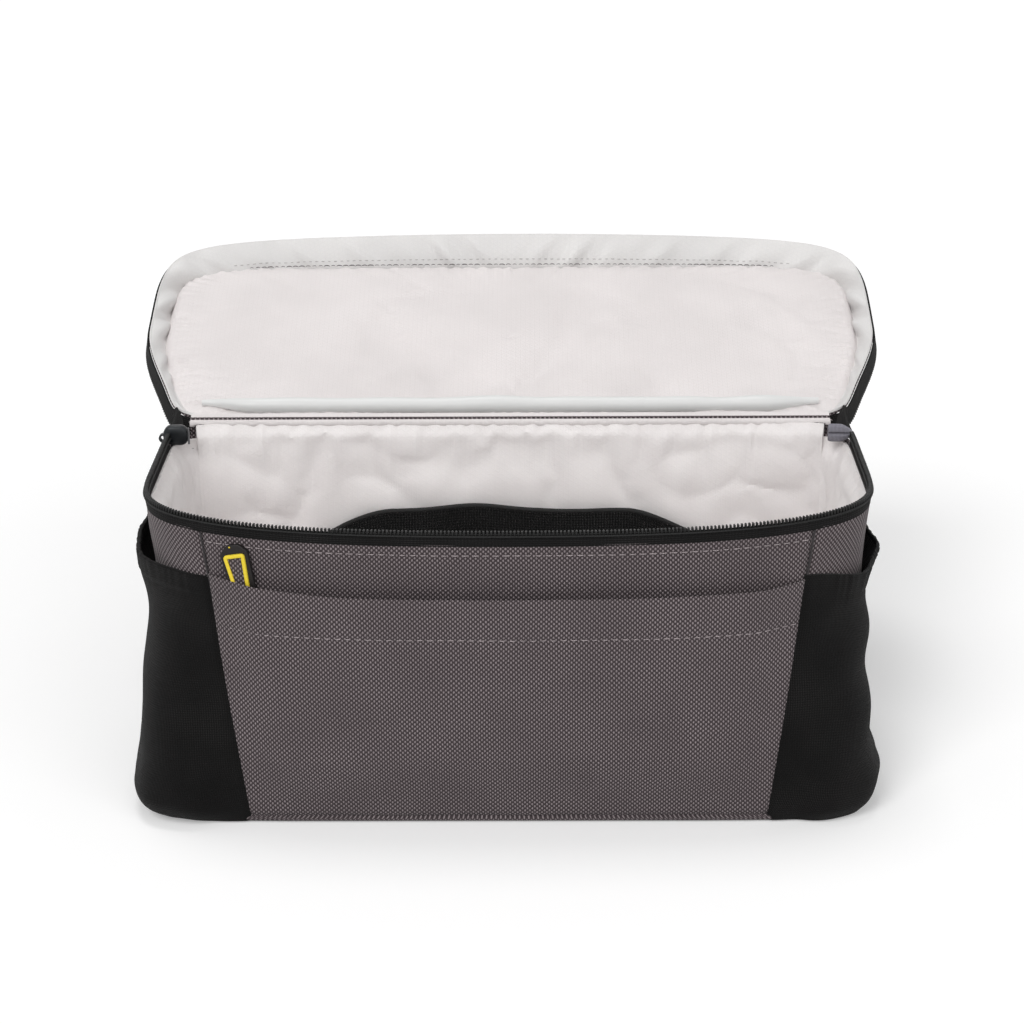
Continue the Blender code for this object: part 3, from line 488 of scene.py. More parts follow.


# ribbed dark cloth: stretch knit, tape, elastic and webbing, with broad patches of painted sheen and painted shade
def ribFinish(name, dark, light, pitch, depth, roughness=0.8, along=0, cross=0.0, sheen=0.0, fleck=0.25,
              specular=0.14):
    finish, tree, shader = newFinish(name, roughness, sheen=sheen, specular=specular)
    where, u, v = clothCoordinates(tree)
    ribs = math(tree, "COSINE", math(tree, "MULTIPLY", (u, v)[along], 2 * pi / pitch))
    height = ribs
    if cross:
        ticks = math(tree, "COSINE", math(tree, "MULTIPLY", (v, u)[along], 2 * pi / cross))
        height = math(tree, "MULTIPLY_ADD", ticks, 0.5, ribs)
    fibre = noise(tree, where, 1100.0, 2.0, 0.6)
    mask = rampBetween(tree, math(tree, "MULTIPLY_ADD", fibre, 1.2, height), 0.2, 1.9, 0.0, fleck)
    # broad noise that lightens and darkens the flecks is painted sheen and painted shade of folds, laid over the
    # cloth's own uneven tone
    wearAndSheen = rampBetween(tree, noise(tree, where, 26.0, 4.0), 0.32, 0.72, 0.25, 1.9)
    tree.links.new(mixColor(tree, math(tree, "MULTIPLY", mask, wearAndSheen), dark, light), shader.inputs["Base Color"])
    relief(tree, shader, math(tree, "MULTIPLY_ADD", fibre, 0.4, height), depth)
    return finish


# moulded or painted small parts: fine grain, a little wear and gloss change
def mouldedFinish(name, color, wearAndSheen, roughness, metallic=0.0, grain=0.00004):
    finish, tree, shader = newFinish(name, roughness, specular=0.32, metallic=metallic)
    where = objectCoordinates(tree)
    broad = noise(tree, where, 120.0, 3.0)
    fine = noise(tree, where, 2600.0, 2.0, 0.6)
    mask = rampBetween(tree, broad, 0.35, 0.75, 0.0, 0.35)
    tree.links.new(mixColor(tree, mask, color, wearAndSheen), shader.inputs["Base Color"])
    tree.links.new(rampBetween(tree, broad, 0.2, 0.8, roughness - 0.06, roughness + 0.08),
                   shader.inputs["Roughness"])
    relief(tree, shader, fine, grain)
    return finish


def threadFinish(name, color, shade):
    finish, tree, shader = newFinish(name, 0.6, sheen=0.2)
    where = objectCoordinates(tree)
    mask = rampBetween(tree, noise(tree, where, 2400.0, 1.0), 0.35, 0.65)
    tree.links.new(mixColor(tree, mask, color, shade), shader.inputs["Base Color"])
    relief(tree, shader, mask, 0.00005)
    return finish


weave = weaveFinish("heatherWeave", (0.050, 0.039, 0.042), (0.340, 0.291, 0.301))
stretch = ribFinish("stretchKnit", (0.0060, 0.0058, 0.0058), (0.060, 0.056, 0.055), 0.00085, 0.00010, 0.80,
                    cross=0.0012, sheen=0.06, fleck=0.15, specular=0.08)
elastic = ribFinish("ribbedElastic", (0.008, 0.008, 0.008), (0.050, 0.050, 0.050), 0.0016, 0.0003, 0.7)
tape = ribFinish("zipTape", (0.0065, 0.0062, 0.0062), (0.045, 0.043, 0.043), 0.0011, 0.00015, 0.8, along=1,
                 cross=0.0016)
webbing = ribFinish("webbing", (0.008, 0.008, 0.008), (0.055, 0.055, 0.055), 0.0017, 0.00025, 0.7, along=1,
                    cross=0.0024)
pile = ribFinish("hookPile", (0.009, 0.009, 0.009), (0.07, 0.07, 0.07), 0.0008, 0.0004, 0.9, cross=0.0008)
meshCloth = ribFinish("pocketMesh", (0.006, 0.006, 0.006), (0.05, 0.05, 0.05), 0.0015, 0.0003, 0.75,
                      cross=0.0015)
lining = liningFinish("paleLining", (0.80, 0.755, 0.750), (0.69, 0.65, 0.645))
# the lining inside the bag is the same cloth as the lid's lining, made paler as painted light that makes up for the
# shade inside the bag
insideLining = liningFinish("insideLining", (0.93, 0.895, 0.885), (0.84, 0.80, 0.795))
bandLining = liningFinish("lidBandLining", (0.77, 0.755, 0.745), (0.66, 0.65, 0.645), 0.42)
binding = liningFinish("coolBinding", (0.80, 0.80, 0.79), (0.66, 0.67, 0.665), 0.34)
teethBlack = mouldedFinish("zipTeethNylon", (0.006, 0.006, 0.006), (0.014, 0.014, 0.014), 0.45)
sliderBlack = mouldedFinish("sliderPaint", (0.013, 0.015, 0.017), (0.04, 0.043, 0.046), 0.33, metallic=0.35)
rubberBlack = mouldedFinish("tabRubber", (0.009, 0.007, 0.007), (0.018, 0.015, 0.0145), 0.60)
rubberYellow = mouldedFinish("tabYellow", (0.91, 0.70, 0.045), (0.80, 0.60, 0.03), 0.42)
foldedGrey = ribFinish("foldedTabCloth", (0.19, 0.185, 0.215), (0.42, 0.41, 0.46), 0.0007, 0.00006, 0.6,
                       cross=0.0007, fleck=0.8)
foamFinish = mouldedFinish("closedCellFoam", (0.80, 0.80, 0.78), (0.70, 0.70, 0.68), 0.9, grain=0.0002)
boardFinish = mouldedFinish("stiffBoard", (0.03, 0.03, 0.03), (0.05, 0.05, 0.05), 0.6)
greyThread = threadFinish("greyThread", (0.44, 0.38, 0.39), (0.27, 0.235, 0.24))
# near-black cloth for the tubes in the front seams: painted shadow of the seams
seamCloth = threadFinish("seamCloth", (0.016, 0.013, 0.014), (0.040, 0.034, 0.036))
seamThread = threadFinish("seamThread", (0.085, 0.078, 0.078), (0.16, 0.15, 0.15))
stopMetal = mouldedFinish("zipStopMetal", (0.22, 0.22, 0.23), (0.10, 0.10, 0.10), 0.3, metallic=0.8)
paleThread = threadFinish("paleThread", (0.58, 0.56, 0.555), (0.42, 0.405, 0.40))
blackThread = threadFinish("blackThread", (0.014, 0.014, 0.014), (0.04, 0.04, 0.04))
print("materials ready")


# ---- things repeated along a path

# the unit's X runs along the path and its Z follows the stored up direction
def buildRepeatTree():
    tree = bpy.data.node_groups.new("repeatAlongPath", "GeometryNodeTree")
    face = tree.interface
    face.new_socket("Geometry", in_out="INPUT", socket_type="NodeSocketGeometry")
    for name, kind in (("Unit", "NodeSocketObject"), ("Pitch", "NodeSocketFloat"), ("Size Change", "NodeSocketFloat"),
                       ("Seed", "NodeSocketInt"), ("Finish", "NodeSocketMaterial")):
        face.new_socket(name, in_out="INPUT", socket_type=kind)
    face.new_socket("Geometry", in_out="OUTPUT", socket_type="NodeSocketGeometry")
    given = addNode(tree, "NodeGroupInput").outputs
    curve = addNode(tree, "GeometryNodeMeshToCurve", {"Mesh": given["Geometry"]})
    even = addNode(tree, "GeometryNodeResampleCurve", {"Curve": curve.outputs[0], "Length": given["Pitch"]},
                   mode="LENGTH")
    tangent = addNode(tree, "GeometryNodeInputTangent")
    up = addNode(tree, "GeometryNodeInputNamedAttribute", {"Name": "up"}, data_type="FLOAT_VECTOR")
    alongPath = addNode(tree, "FunctionNodeAlignRotationToVector", {"Vector": tangent.outputs[0]}, axis="X")
    upright = addNode(tree, "FunctionNodeAlignRotationToVector",
                      {"Rotation": alongPath.outputs[0], "Vector": up.outputs[0]}, axis="Z", pivot_axis="X")
    least = addNode(tree, "ShaderNodeMath", {0: 1.0, 1: given["Size Change"]}, operation="SUBTRACT")
    most = addNode(tree, "ShaderNodeMath", {0: 1.0, 1: given["Size Change"]}, operation="ADD")
    chance = addNode(tree, "FunctionNodeRandomValue", {2: least.outputs[0], 3: most.outputs[0],
                                                       "Seed": given["Seed"]}, data_type="FLOAT")
    unit = addNode(tree, "GeometryNodeObjectInfo", {"Object": given["Unit"], "As Instance": True},
                   transform_space="ORIGINAL")
    placed = addNode(tree, "GeometryNodeInstanceOnPoints",
                     {"Points": even.outputs[0], "Instance": unit.outputs["Geometry"],
                      "Rotation": upright.outputs[0], "Scale": chance.outputs[1]})
    real = addNode(tree, "GeometryNodeRealizeInstances", {"Geometry": placed.outputs[0]})
    painted = addNode(tree, "GeometryNodeSetMaterial", {"Geometry": real.outputs[0], "Material": given["Finish"]})
    out = addNode(tree, "NodeGroupOutput")
    tree.links.new(painted.outputs[0], out.inputs["Geometry"])
    return tree


repeatTree = buildRepeatTree()
socketIds = {item.name: item.identifier for item in repeatTree.interface.items_tree if item.in_out == "INPUT"}


def repeatAlong(name, points, ups, unit, pitch, finish, change=0.05, seed=1):
    points = np.asarray(points, float)
    mesh = bpy.data.meshes.new(name + "Path")
    mesh.from_pydata([tuple(p) for p in points], [(i, i + 1) for i in range(len(points) - 1)], [])
    ups = np.broadcast_to(ups, points.shape)
    stored = mesh.attributes.new("up", "FLOAT_VECTOR", "POINT")
    stored.data.foreach_set("vector", np.ascontiguousarray(ups, np.float32).ravel())
    piece = newObject(name, mesh)
    maker = piece.modifiers.new("repeatAlongPath", "NODES")
    maker.node_group = repeatTree
    for key, value in (("Unit", unit), ("Pitch", pitch), ("Size Change", change), ("Seed", seed),
                       ("Finish", finish)):
        maker[socketIds[key]] = value
    return settle(piece, 60.0)


# a rounded block from a cube that is beveled
def roundedUnit(name, size, corner, segments=1, shift=(0, 0, 0)):
    mesh = bpy.data.meshes.new(name)
    work = bmesh.new()
    bmesh.ops.create_cube(work, size=1.0)
    bmesh.ops.scale(work, vec=size, verts=work.verts)
    bmesh.ops.bevel(work, geom=work.edges[:], offset=corner, segments=segments, affect="EDGES", profile=0.6)
    bmesh.ops.translate(work, vec=shift, verts=work.verts)
    work.to_mesh(mesh)
    work.free()
    mesh.shade_smooth()
    unit = newObject(name, mesh)
    unit.hide_render = True
    return unit


# a stitch: a short thread that dips at both ends
def stitchUnit(name, length, width):
    stations = np.linspace(-0.5, 0.5, 6)
    points, faces = [], []
    for share in stations:
        thick = width / 2 * (1 - (2 * abs(share)) ** 4 * 0.55)
        dip = -width * 0.85 * (2 * abs(share)) ** 3
        for corner in range(6):
            turn = 2 * pi * corner / 6
            points.append((share * length, thick * cos(turn), dip + thick * sin(turn)))
    for ring in range(len(stations) - 1):
        for corner in range(6):
            a, b = ring * 6 + corner, ring * 6 + (corner + 1) % 6
            faces.append((a, b, b + 6, a + 6))
    faces += [tuple(reversed(range(6))), tuple(range(30, 36))]
    mesh = meshFrom(name, points, faces, sharp=80)
    work = bmesh.new()
    work.from_mesh(mesh)
    bmesh.ops.recalc_face_normals(work, faces=work.faces)
    work.to_mesh(mesh)
    work.free()
    unit = newObject(name, mesh)
    unit.hide_render = True
    return unit


units = {
    "tooth": roundedUnit("toothUnit", (0.00098, 0.0021, 0.0026), 0.00025),
    "lidTooth": roundedUnit("lidToothUnit", (0.00098, 0.0019, 0.0024), 0.00025),
    "stitch": stitchUnit("stitchUnit", 0.0031, 0.00055),
    "smallStitch": stitchUnit("smallStitchUnit", 0.0022, 0.00050),
    "dash": stitchUnit("dashUnit", 0.0029, 0.00052),
}


def finished(piece, body, slotName, *replaced):
    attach(piece, body)
    if replaced:
        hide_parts(*replaced)
    return piece


# rows of wall points between a foot and a top edge
def wallRows(wall, foot, topOf, count, columns, outset, margin=0.0003):
    rows, heights, spots = [], [], []
    for share in np.linspace(0, 1, count):
        nominal = foot + (bag["rim"] - 0.004 - foot) * share
        first, last = wallSpan(wall, min(nominal, bag["rim"]), margin)
        places = np.linspace(first, last, columns)
        z = foot + (topOf(places) - foot) * share
        middle = float(np.mean(z))
        first, last = wallSpan(wall, middle, margin)
        places = np.linspace(first, last, columns)
        z = foot + (topOf(places) - foot) * share
        rows.append(wallPoints(places, middle, outset(places, z), z))
        heights.append(z)
        spots.append(places)
    return np.array(rows), np.array(heights), np.array(spots)


# ---- outer shell

shellSizes = {"rows": 70, "frontColumns": 190, "sideColumns": 110, "seamDepth": 0.0012, "seamWidth": 0.0016,
              "ripple": 0.00022}


# the walls turn in to the seam round the base
def footTuck(z):
    return bag["tuck"] * bell(z - bag["baseSeam"], 0.0016)


def runToSeams(places, z, wall):
    middle = float(np.mean(z))
    first, last = wallSpan(wall, middle, 0.0)
    return np.minimum(places - first, last - places) * planAt(middle)[4][-1]


def shellOutset(wall, seed):
    def outset(places, z):
        toSeam = runToSeams(places, z, wall)
        groove = shellSizes["seamDepth"] * bell(toSeam, shellSizes["seamWidth"])
        fade = smoothStep(toSeam / 0.012) * smoothStep((bag["rim"] - 0.007 - z) / 0.012) * smoothStep(z / 0.02)
        wave = ripples(places * 0.95, z, 0.055, seed) * shellSizes["ripple"] * fade
        return wave - groove - footTuck(z)
    return outset


def buildShell():
    drop = bag["tapeShow"] - 0.0012
    for wall, node, seed in (("front", "front_panel", 3), ("back", "back_panel", 5), ("left", "side_panel_left", 7),
                             ("right", "side_panel_right", 11)):
        columns = shellSizes["frontColumns"] if wall in ("front", "back") else shellSizes["sideColumns"]
        top = (lambda places: rimHeight(places) - 0.0006) if wall == "back" else (
            lambda places: rimHeight(places) - drop)
        rows, _, _ = wallRows(wall, bag["baseSeam"], top, shellSizes["rows"], columns, shellOutset(wall, seed), -0.0005)
        piece = clothSlab("shell" + wall.capitalize(), rows, bag["shell"] * 0.9, weave)
        finished(piece, "bag", "weave", node)
    # base panel, turned up all round to the seam
    edge = ((-0.006, 0.0003), (-0.0026, 0.0001), (-0.0008, 0.0003), (0.0004, 0.0009), (0.0011, 0.0020),
            (0.0009, 0.0030), (-0.0002, 0.0038), (-0.0020, 0.0042))
    ring = [wallPoints(np.linspace(0, 1, 361), 0.0, outset, z) for outset, z in edge]
    inside = [ring[0] * np.array([share, share, 1.0]) for share in np.linspace(0.05, 0.98, 16)]
    rows = np.array(inside + ring)
    spread = rows[..., :2] * (1 + rows[..., 2:] * 12)
    piece = clothSlab("shellBase", rows, 0.0009, weave, uv=spread, ring=True)
    closeCentre(piece)
    flipIfNeeded(piece)
    finished(piece, "bag", "weave", "base_panel")


# fills the two small holes that a ring of rows leaves at its middle
def closeCentre(piece):
    work = bmesh.new()
    work.from_mesh(piece.data)
    layer = work.loops.layers.uv.active
    rim = [e for e in work.edges if len(e.link_faces) == 2 and abs(e.verts[0].co.x) < 0.012
           and abs(e.verts[0].co.y) < 0.006 and abs(e.verts[0].co.z - e.verts[1].co.z) > 0.0004]
    walls = {f for e in rim for f in e.link_faces}
    bmesh.ops.delete(work, geom=list(walls), context="FACES_ONLY")
    made = bmesh.ops.holes_fill(work, edges=[e for e in work.edges if e.is_boundary], sides=0)
    for f in made["faces"]:
        for loop in f.loops:
            loop[layer].uv = loop.vert.co.xy
    work.to_mesh(piece.data)
    work.free()


def flipIfNeeded(piece):
    work = bmesh.new()
    work.from_mesh(piece.data)
    bmesh.ops.recalc_face_normals(work, faces=work.faces)
    work.to_mesh(piece.data)
    work.free()


# a thin near-black tube lies in each front seam as painted shadow of the seam's groove
def buildFrontSeamShadows():
    heights = np.linspace(bag["baseSeam"], bag["rim"] - 0.0095, 60)
    for name, mirrored in (("Left", False), ("Right", True)):
        points = []
        for height in heights:
            place = 1 - frontSeam(height) if mirrored else frontSeam(height)
            points.append(wallPoints(np.array([place]), height, -0.0002 - footTuck(height))[0])
        finished(tube("frontSeam" + name, points, 0.00055, seamCloth, sides=8), "bag", "weave")


buildShell()
buildFrontSeamShadows()
print("shell done")

# ---- front slip pocket

pocketSizes = {"drop": 0.0325, "standoff": 0.0062, "waistStandoff": 0.0056, "edge": 0.028, "rise": 0.035,
               "foot": 0.0036, "hem": 0.0208, "hemLift": 0.0007, "leftRise": 0.0036, "rows": 92, "columns": 200}


def pocketOutset(places, z):
    toSeam = runToSeams(places, z, "front")
    hold = smoothStep(toSeam / pocketSizes["edge"])
    rise = smoothStep((z - pocketSizes["foot"]) / pocketSizes["rise"])
    stand = pocketSizes["waistStandoff"] + (pocketSizes["standoff"] - pocketSizes["waistStandoff"]) * smoothStep(
        z / 0.120)
    out = bag["shell"] + gap + (stand - gap) * hold * rise - footTuck(z)
    groove = 0.0013 * bell(toSeam, 0.0013)
    under = rimHeight(places) - pocketSizes["drop"] - z
    hem = pocketSizes["hemLift"] * smoothStep((pocketSizes["hem"] + 0.0015 - under) / 0.0022) * smoothStep(toSeam / 0.006)
    stitch = 0.00045 * bell(under - pocketSizes["hem"], 0.0011) * smoothStep(toSeam / 0.004)
    fade = smoothStep(toSeam / 0.015)
    wave = ripples(places * 0.95, z, 0.07, 21) * 0.00035 * fade
    pucker = ripples(places * 0.95, z * 0.4, 0.012, 22, spread=0.7) * 0.00010 * bell(under - pocketSizes["hem"], 0.006)
    return out - groove + hem - stitch + wave + pucker * fade


def pocketMouth(places):
    x = wallPoints(places, bag["rim"])[..., 0]
    return rimHeight(places) - pocketSizes["drop"] + pocketSizes["leftRise"] * smoothStep((-x - 0.075) / 0.07)


def buildFrontPocket():
    rows, _, _ = wallRows("front", pocketSizes["foot"], pocketMouth, pocketSizes["rows"], pocketSizes["columns"],
                          pocketOutset, -0.0004)
    piece = clothSlab("frontSlipPocket", rows, 0.0011, weave, round=0.0004)
    finished(piece, "bag", "weave", "front_pocket")
    # topstitch of the hem and of the panel above it
    for name, drop, outsetOf, seed in (("hemStitch", pocketSizes["drop"] + pocketSizes["hem"], pocketOutset, 31),
                                       ("panelStitch", 0.0122, shellOutset("front", 3), 32)):
        z0 = bag["rim"] - drop
        first, last = wallSpan("front", z0, 0.0045)
        places = np.linspace(first, last, 400)
        z = rimHeight(places) - drop
        points = wallPoints(places, z0, outsetOf(places, z) + 0.00035, z)
        stitches = repeatAlong(name, points, wallNormals(places, z0), units["stitch"], 0.0049, greyThread, 0.12, seed)
        finished(stitches, "bag", "weave")


buildFrontPocket()
print("front pocket done")

# ---- stretch side pockets

sideSizes = {"foot": 0.0010, "mouth": 0.119, "mouthRise": 0.0065, "mouthDip": {"left": -0.2, "right": 1.0},
             "cloth": 0.0009, "backMargin": 0.022, "frontMargin": 0.034,
             "mouthMargin": 0.072, "elastic": 0.009, "rows": 84, "columns": 150}
standKnots = np.array([0.0010, 0.006, 0.012, 0.018, 0.0286, 0.0537, 0.083, 0.1058, 0.119])
standValues = {
    "left": np.array([0.0032, 0.0105, 0.0138, 0.0132, 0.0104, 0.0082, 0.0060, 0.0046, 0.0100]),
    "right": np.array([0.0028, 0.0070, 0.0092, 0.0098, 0.0066, 0.0040, 0.0032, 0.0027, 0.0096]),
}


def easedInterp(x, knots, values):
    slopes = np.gradient(values, knots)
    at = np.clip(np.searchsorted(knots, x) - 1, 0, len(knots) - 2)
    span = knots[at + 1] - knots[at]
    t = np.clip((x - knots[at]) / span, 0, 1)
    a, b = values[at], values[at + 1]
    ma, mb = slopes[at] * span, slopes[at + 1] * span
    return (2 * t**3 - 3 * t**2 + 1) * a + (t**3 - 2 * t**2 + t) * ma + (3 * t**2 - 2 * t**3) * b + (t**3 - t**2) * mb


def sideHold(places, z, wall):
    middle = float(np.mean(z))
    length = planAt(middle)[4][-1]
    first, last = wallSpan(wall, middle, 0.0)
    fromFront = ((last - places) if wall == "left" else (places - first)) * length
    fromBack = ((places - first) if wall == "left" else (last - places)) * length
    return fromFront, fromBack


def mouthHeight(wall):
    def height(places):
        fromFront, _ = sideHold(places, np.array([sideSizes["mouth"]]), wall)
        dip = sideSizes["mouthDip"][wall] * smoothStep(fromFront / 0.045)
        return sideSizes["mouth"] + sideSizes["mouthRise"] * (1 - dip)
    return height


def sideOutset(wall, seed):
    mouth = mouthHeight(wall)

    def outset(places, z):
        fromFront, fromBack = sideHold(places, z, wall)
        high = smoothStep((z - 0.085) / 0.035)
        margin = sideSizes["frontMargin"] + (sideSizes["mouthMargin"] - sideSizes["frontMargin"]) * high
        hold = smoothStep(fromBack / sideSizes["backMargin"]) * smoothStep(fromFront / margin)
        stand = easedInterp(z, standKnots, standValues[wall]) - gap - sideSizes["cloth"]
        seam = np.minimum(fromFront, fromBack)
        fade = smoothStep(seam / 0.02)
        wave = ripples(fromFront, z, 0.05, seed) * 0.0009 * fade
        folds = ripples(fromFront, z * 0.3, 0.020, seed + 1, spread=0.6) * 0.0005 * fade * bell(z - 0.010, 0.014)
        under = mouth(places) - z
        gathers = ripples(fromFront, z * 0.1, 0.0052, seed + 2, spread=0.3) * 0.00022 * fade * bell(under, 0.011)
        sewn = 0.0004 * bell(under - 0.0095, 0.0012) * fade
        groove = 0.0008 * bell(seam, 0.0014)
        return gap + sideSizes["cloth"] + stand * hold + wave + folds + gathers - sewn - groove
    return outset


def buildSidePockets():
    for wall, seed in (("left", 41), ("right", 47)):
        outset = sideOutset(wall, seed)
        mouth = mouthHeight(wall)
        rows, _, _ = wallRows(wall, sideSizes["foot"], mouth, sideSizes["rows"], sideSizes["columns"], outset, -0.0004)
        # the mouth is rolled over the elastic
        normals = gridNormals(rows)[-1]
        roll = []
        for turn in np.linspace(30, 210, 6):
            away = 0.0011 * (cos(radians(turn)) - 1)
            lift = 0.0011 * sin(radians(turn))
            roll.append(rows[-1] + normals * away + np.array([0, 0, 1.0]) * lift)
        rows = np.concatenate([rows, roll])
        piece = clothSlab("sidePocket" + wall.capitalize(), rows, sideSizes["cloth"], stretch)
        finished(piece, "bag", "stretch", "side_pocket_" + wall)

        def inside(places, z):
            return outset(places, z) - sideSizes["cloth"] - gap

        def high(places):
            return mouth(places) - 0.0006

        rows, _, _ = wallRows(wall, sideSizes["mouth"] - sideSizes["elastic"], high, 10, sideSizes["columns"],
                              inside, 0.006)
        band = clothSlab("sideElastic" + wall.capitalize(), rows, 0.0011, elastic)
        finished(band, "bag", "elastic", "side_elastic_" + wall)


buildSidePockets()
print("side pockets done")

# ---- zip round the rim

zipSizes = {"tape": 0.0008, "pitch": 0.00182, "sliderY": 0.0605, "sliderDepth": 0.0058, "show": 0.0072}
zipEndY = zipSizes["sliderY"] - zipSizes["sliderDepth"] / 2 - gap


def buildBagZip():
    first = placeAtY(zipEndY, bag["rim"])
    places = np.linspace(first, 1 - first, 520)
    rim = rimHeight(places)
    rows = []
    for drop in np.linspace(zipSizes["show"] + 0.0006, 0.0016, 9):
        curl = 0.0004 * bell(drop - zipSizes["show"], 0.0010)
        rows.append(wallPoints(places, bag["rim"], -gap * 0.3 + 0.0003 - curl, rim - drop))
    piece = clothSlab("bagZipTape", np.array(rows), 0.0013, tape, round=0.0003)
    finished(piece, "bag", "zip_tape", "bag_zip_tape")
    path = wallPoints(places, bag["rim"], -0.0005, rim - 0.0012)
    teeth = repeatAlong("bagZipTeeth", path, (0.0, 0.0, 1.0), units["tooth"], zipSizes["pitch"], teethBlack, 0.03, 51)
    finished(teeth, "bag", "zip_coil", "bag_zip_coil")
    for side, offset in (("Outer", 0.0007), ("Inner", -0.0019)):
        cord = wallPoints(places, bag["rim"], offset, rim - 0.0024)
        finished(tube("bagZipCord" + side, cord, 0.00045, tapeEdge, sides=8), "bag", "zip_coil")


tapeEdge = mouldedFinish("zipCordYarn", (0.007, 0.007, 0.007), (0.03, 0.03, 0.03), 0.7, grain=0.0002)
buildBagZip()
print("bag zip done")

# ---- lid, worked out closed and then turned open

lidSizes = {"open": 160.0, "backHeight": 0.0065, "frontHeight": 0.0165, "inset": 0.002, "splay": 0.0110,
            "splayRun": 0.085, "foldRun": 0.090, "zipEndY": 0.071, "edgeGap": 0.0022, "foam": 0.0018,
            "piping": 0.0016, "pipingY": 0.0615, "tapeWidth": 0.0085, "foldEnd": 78.0, "fold": 80.0,
            "crown": 0.0016, "frontCorner": 8.0, "backCorner": 9.0, "grow": 0.0010,
            "flare": 0.090, "fill": 0.0065, "sideSplay": 0.0040, "room": 0.0027}
lidStack = lidSizes["inset"] + bag["shell"] + gap + bag["liner"] + gap
liningDrop = bag["shell"] + gap + lidSizes["foam"] + gap
lidTurn = radians(lidSizes["open"])
lidPlan = outlinePlan(halfLength + lidSizes["grow"], halfDepth, lidSizes["frontCorner"], lidSizes["backCorner"],
                      bag["frontBulge"], lidSizes["flare"])
lidRun = lidPlan[4][-1]
lidZipStart = placeOnSide(lidPlan, lidSizes["zipEndY"])


# closed lid to the open pose of the frame
def opened(points):
    points = np.asarray(points, float)
    y, z = points[..., 1] - hingeY, points[..., 2] - hingeZ
    return np.stack([points[..., 0], hingeY + y * cos(lidTurn) + z * sin(lidTurn),
                     hingeZ - y * sin(lidTurn) + z * cos(lidTurn)], -1)


def lidTop(y):
    share = (hingeY - y) / bag["depth"]
    return hingeZ + lidSizes["backHeight"] + (lidSizes["frontHeight"] - lidSizes["backHeight"]) * share


# the soft pad is thicker towards the free edge of the lid
def padFill(y):
    return lidSizes["fill"] * smoothStep((halfDepth - 0.02 - y) / 0.11)


# a square grid stretched over the lid's outline, moved in by an inset
def lidGrid(inset, columns, rowCount):
    u, v = np.meshgrid(np.linspace(-1, 1, columns), np.linspace(-1, 1, rowCount))
    s = np.maximum(np.maximum(np.abs(u), np.abs(v)), 1e-9)
    power = np.where(v < 0, lidSizes["frontCorner"], lidSizes["backCorner"])
    k = (np.abs(u / s) ** power + np.abs(v / s) ** power) ** (-1 / power)
    y = (halfDepth - inset) * v * k
    x = (halfLength + lidSizes["grow"] - inset) * u * k * flaring(y, lidSizes["flare"])
    y = y - bag["frontBulge"] * np.clip(-y / halfDepth, 0, 1) ** 2 * (1 - (x / halfLength) ** 2)
    return x, y, s


def splayAt(places):
    run = np.minimum(places - lidZipStart, 1 - lidZipStart - places) * lidRun
    ahead = np.clip(-normalsOn(lidPlan, places)[..., 1], 0, 1) ** 2
    size = lidSizes["sideSplay"] + (lidSizes["splay"] - lidSizes["sideSplay"]) * ahead
    return size * smoothStep(run / lidSizes["splayRun"]), run


def lidEdge(places):
    at = pointsOn(lidPlan, places)
    sag = bag["rimSag"] * smoothStep(-at[..., 1] / halfDepth)
    # room for the slider and the folded tab when the lid is shut
    room = lidSizes["room"] * bell(at[..., 1] - zipSizes["sliderY"], 0.011)
    return bag["rim"] + lidSizes["edgeGap"] + room - sag * (1 - (at[..., 0] / halfLength) ** 2)


# rows of the lid's side wall, from its zip edge (share 0) to its seam (share 1)
def gussetRows(places, shares, wave=0.0, seed=1):
    splay, run = splayAt(places)
    rows = []
    corner = bell(run - 0.105, 0.035) + bell(lidRun * (1 - 2 * lidZipStart) - run - 0.105, 0.035)
    for share in shares:
        outset = -lidSizes["inset"] + (splay + lidSizes["inset"]) * (1 - share) ** 1.5
        inside = sin(pi * min(max(share, 0.0), 1.0)) ** 0.7
        level = np.full(places.shape, share * 0.012)
        folds = ripples(run - share * 0.010, level, 0.026, seed, spread=0.7) * (0.5 + corner)
        outset = outset + wave * folds * inside * smoothStep(run / 0.03)
        at = pointsOn(lidPlan, places, outset)
        top = lidTop(pointsOn(lidPlan, places, -lidSizes["inset"])[..., 1]) - bag["shell"] - gap
        edge = lidEdge(places)
        at[..., 2] = edge + (top - edge) * share
        rows.append(at)
    return np.array(rows)


def buildLidCover():
    # outer panel, crowned over its foam, with a seam roll round its edge
    x, y, s = lidGrid(lidSizes["inset"] - 0.0004, 116, 62)
    edge = np.minimum((1 - s) * halfDepth, 0.05)
    crown = lidSizes["crown"] * smoothStep(edge / 0.03) - 0.0010 * bell(edge, 0.0018)
    wave = ripples(x, y, 0.09, 61) * 0.0003 * smoothStep(edge / 0.02)
    outer = np.stack([x, y, lidTop(y) + crown + wave], -1)
    piece = slab("lidPanel", opened(outer), opened(outer - np.array([0, 0, 0.0010])), weave, uv=np.stack([x, y], -1))
    finished(piece, "lid", "weave", "lid_panel")
    outside = gussetRows(np.linspace(0, 1, 481), np.linspace(0.0, 1.0, 12), 0.0003, 65)
    piece = clothSlab("lidGusset", opened(outside), 0.0009, weave, ring=True)
    finished(piece, "lid", "weave", "lid_gusset")


padSizes = {"columns": 184, "rows": 98, "round": 0.0046, "pucker": 0.00060, "puckerRun": 0.013, "dent": 0.0010}


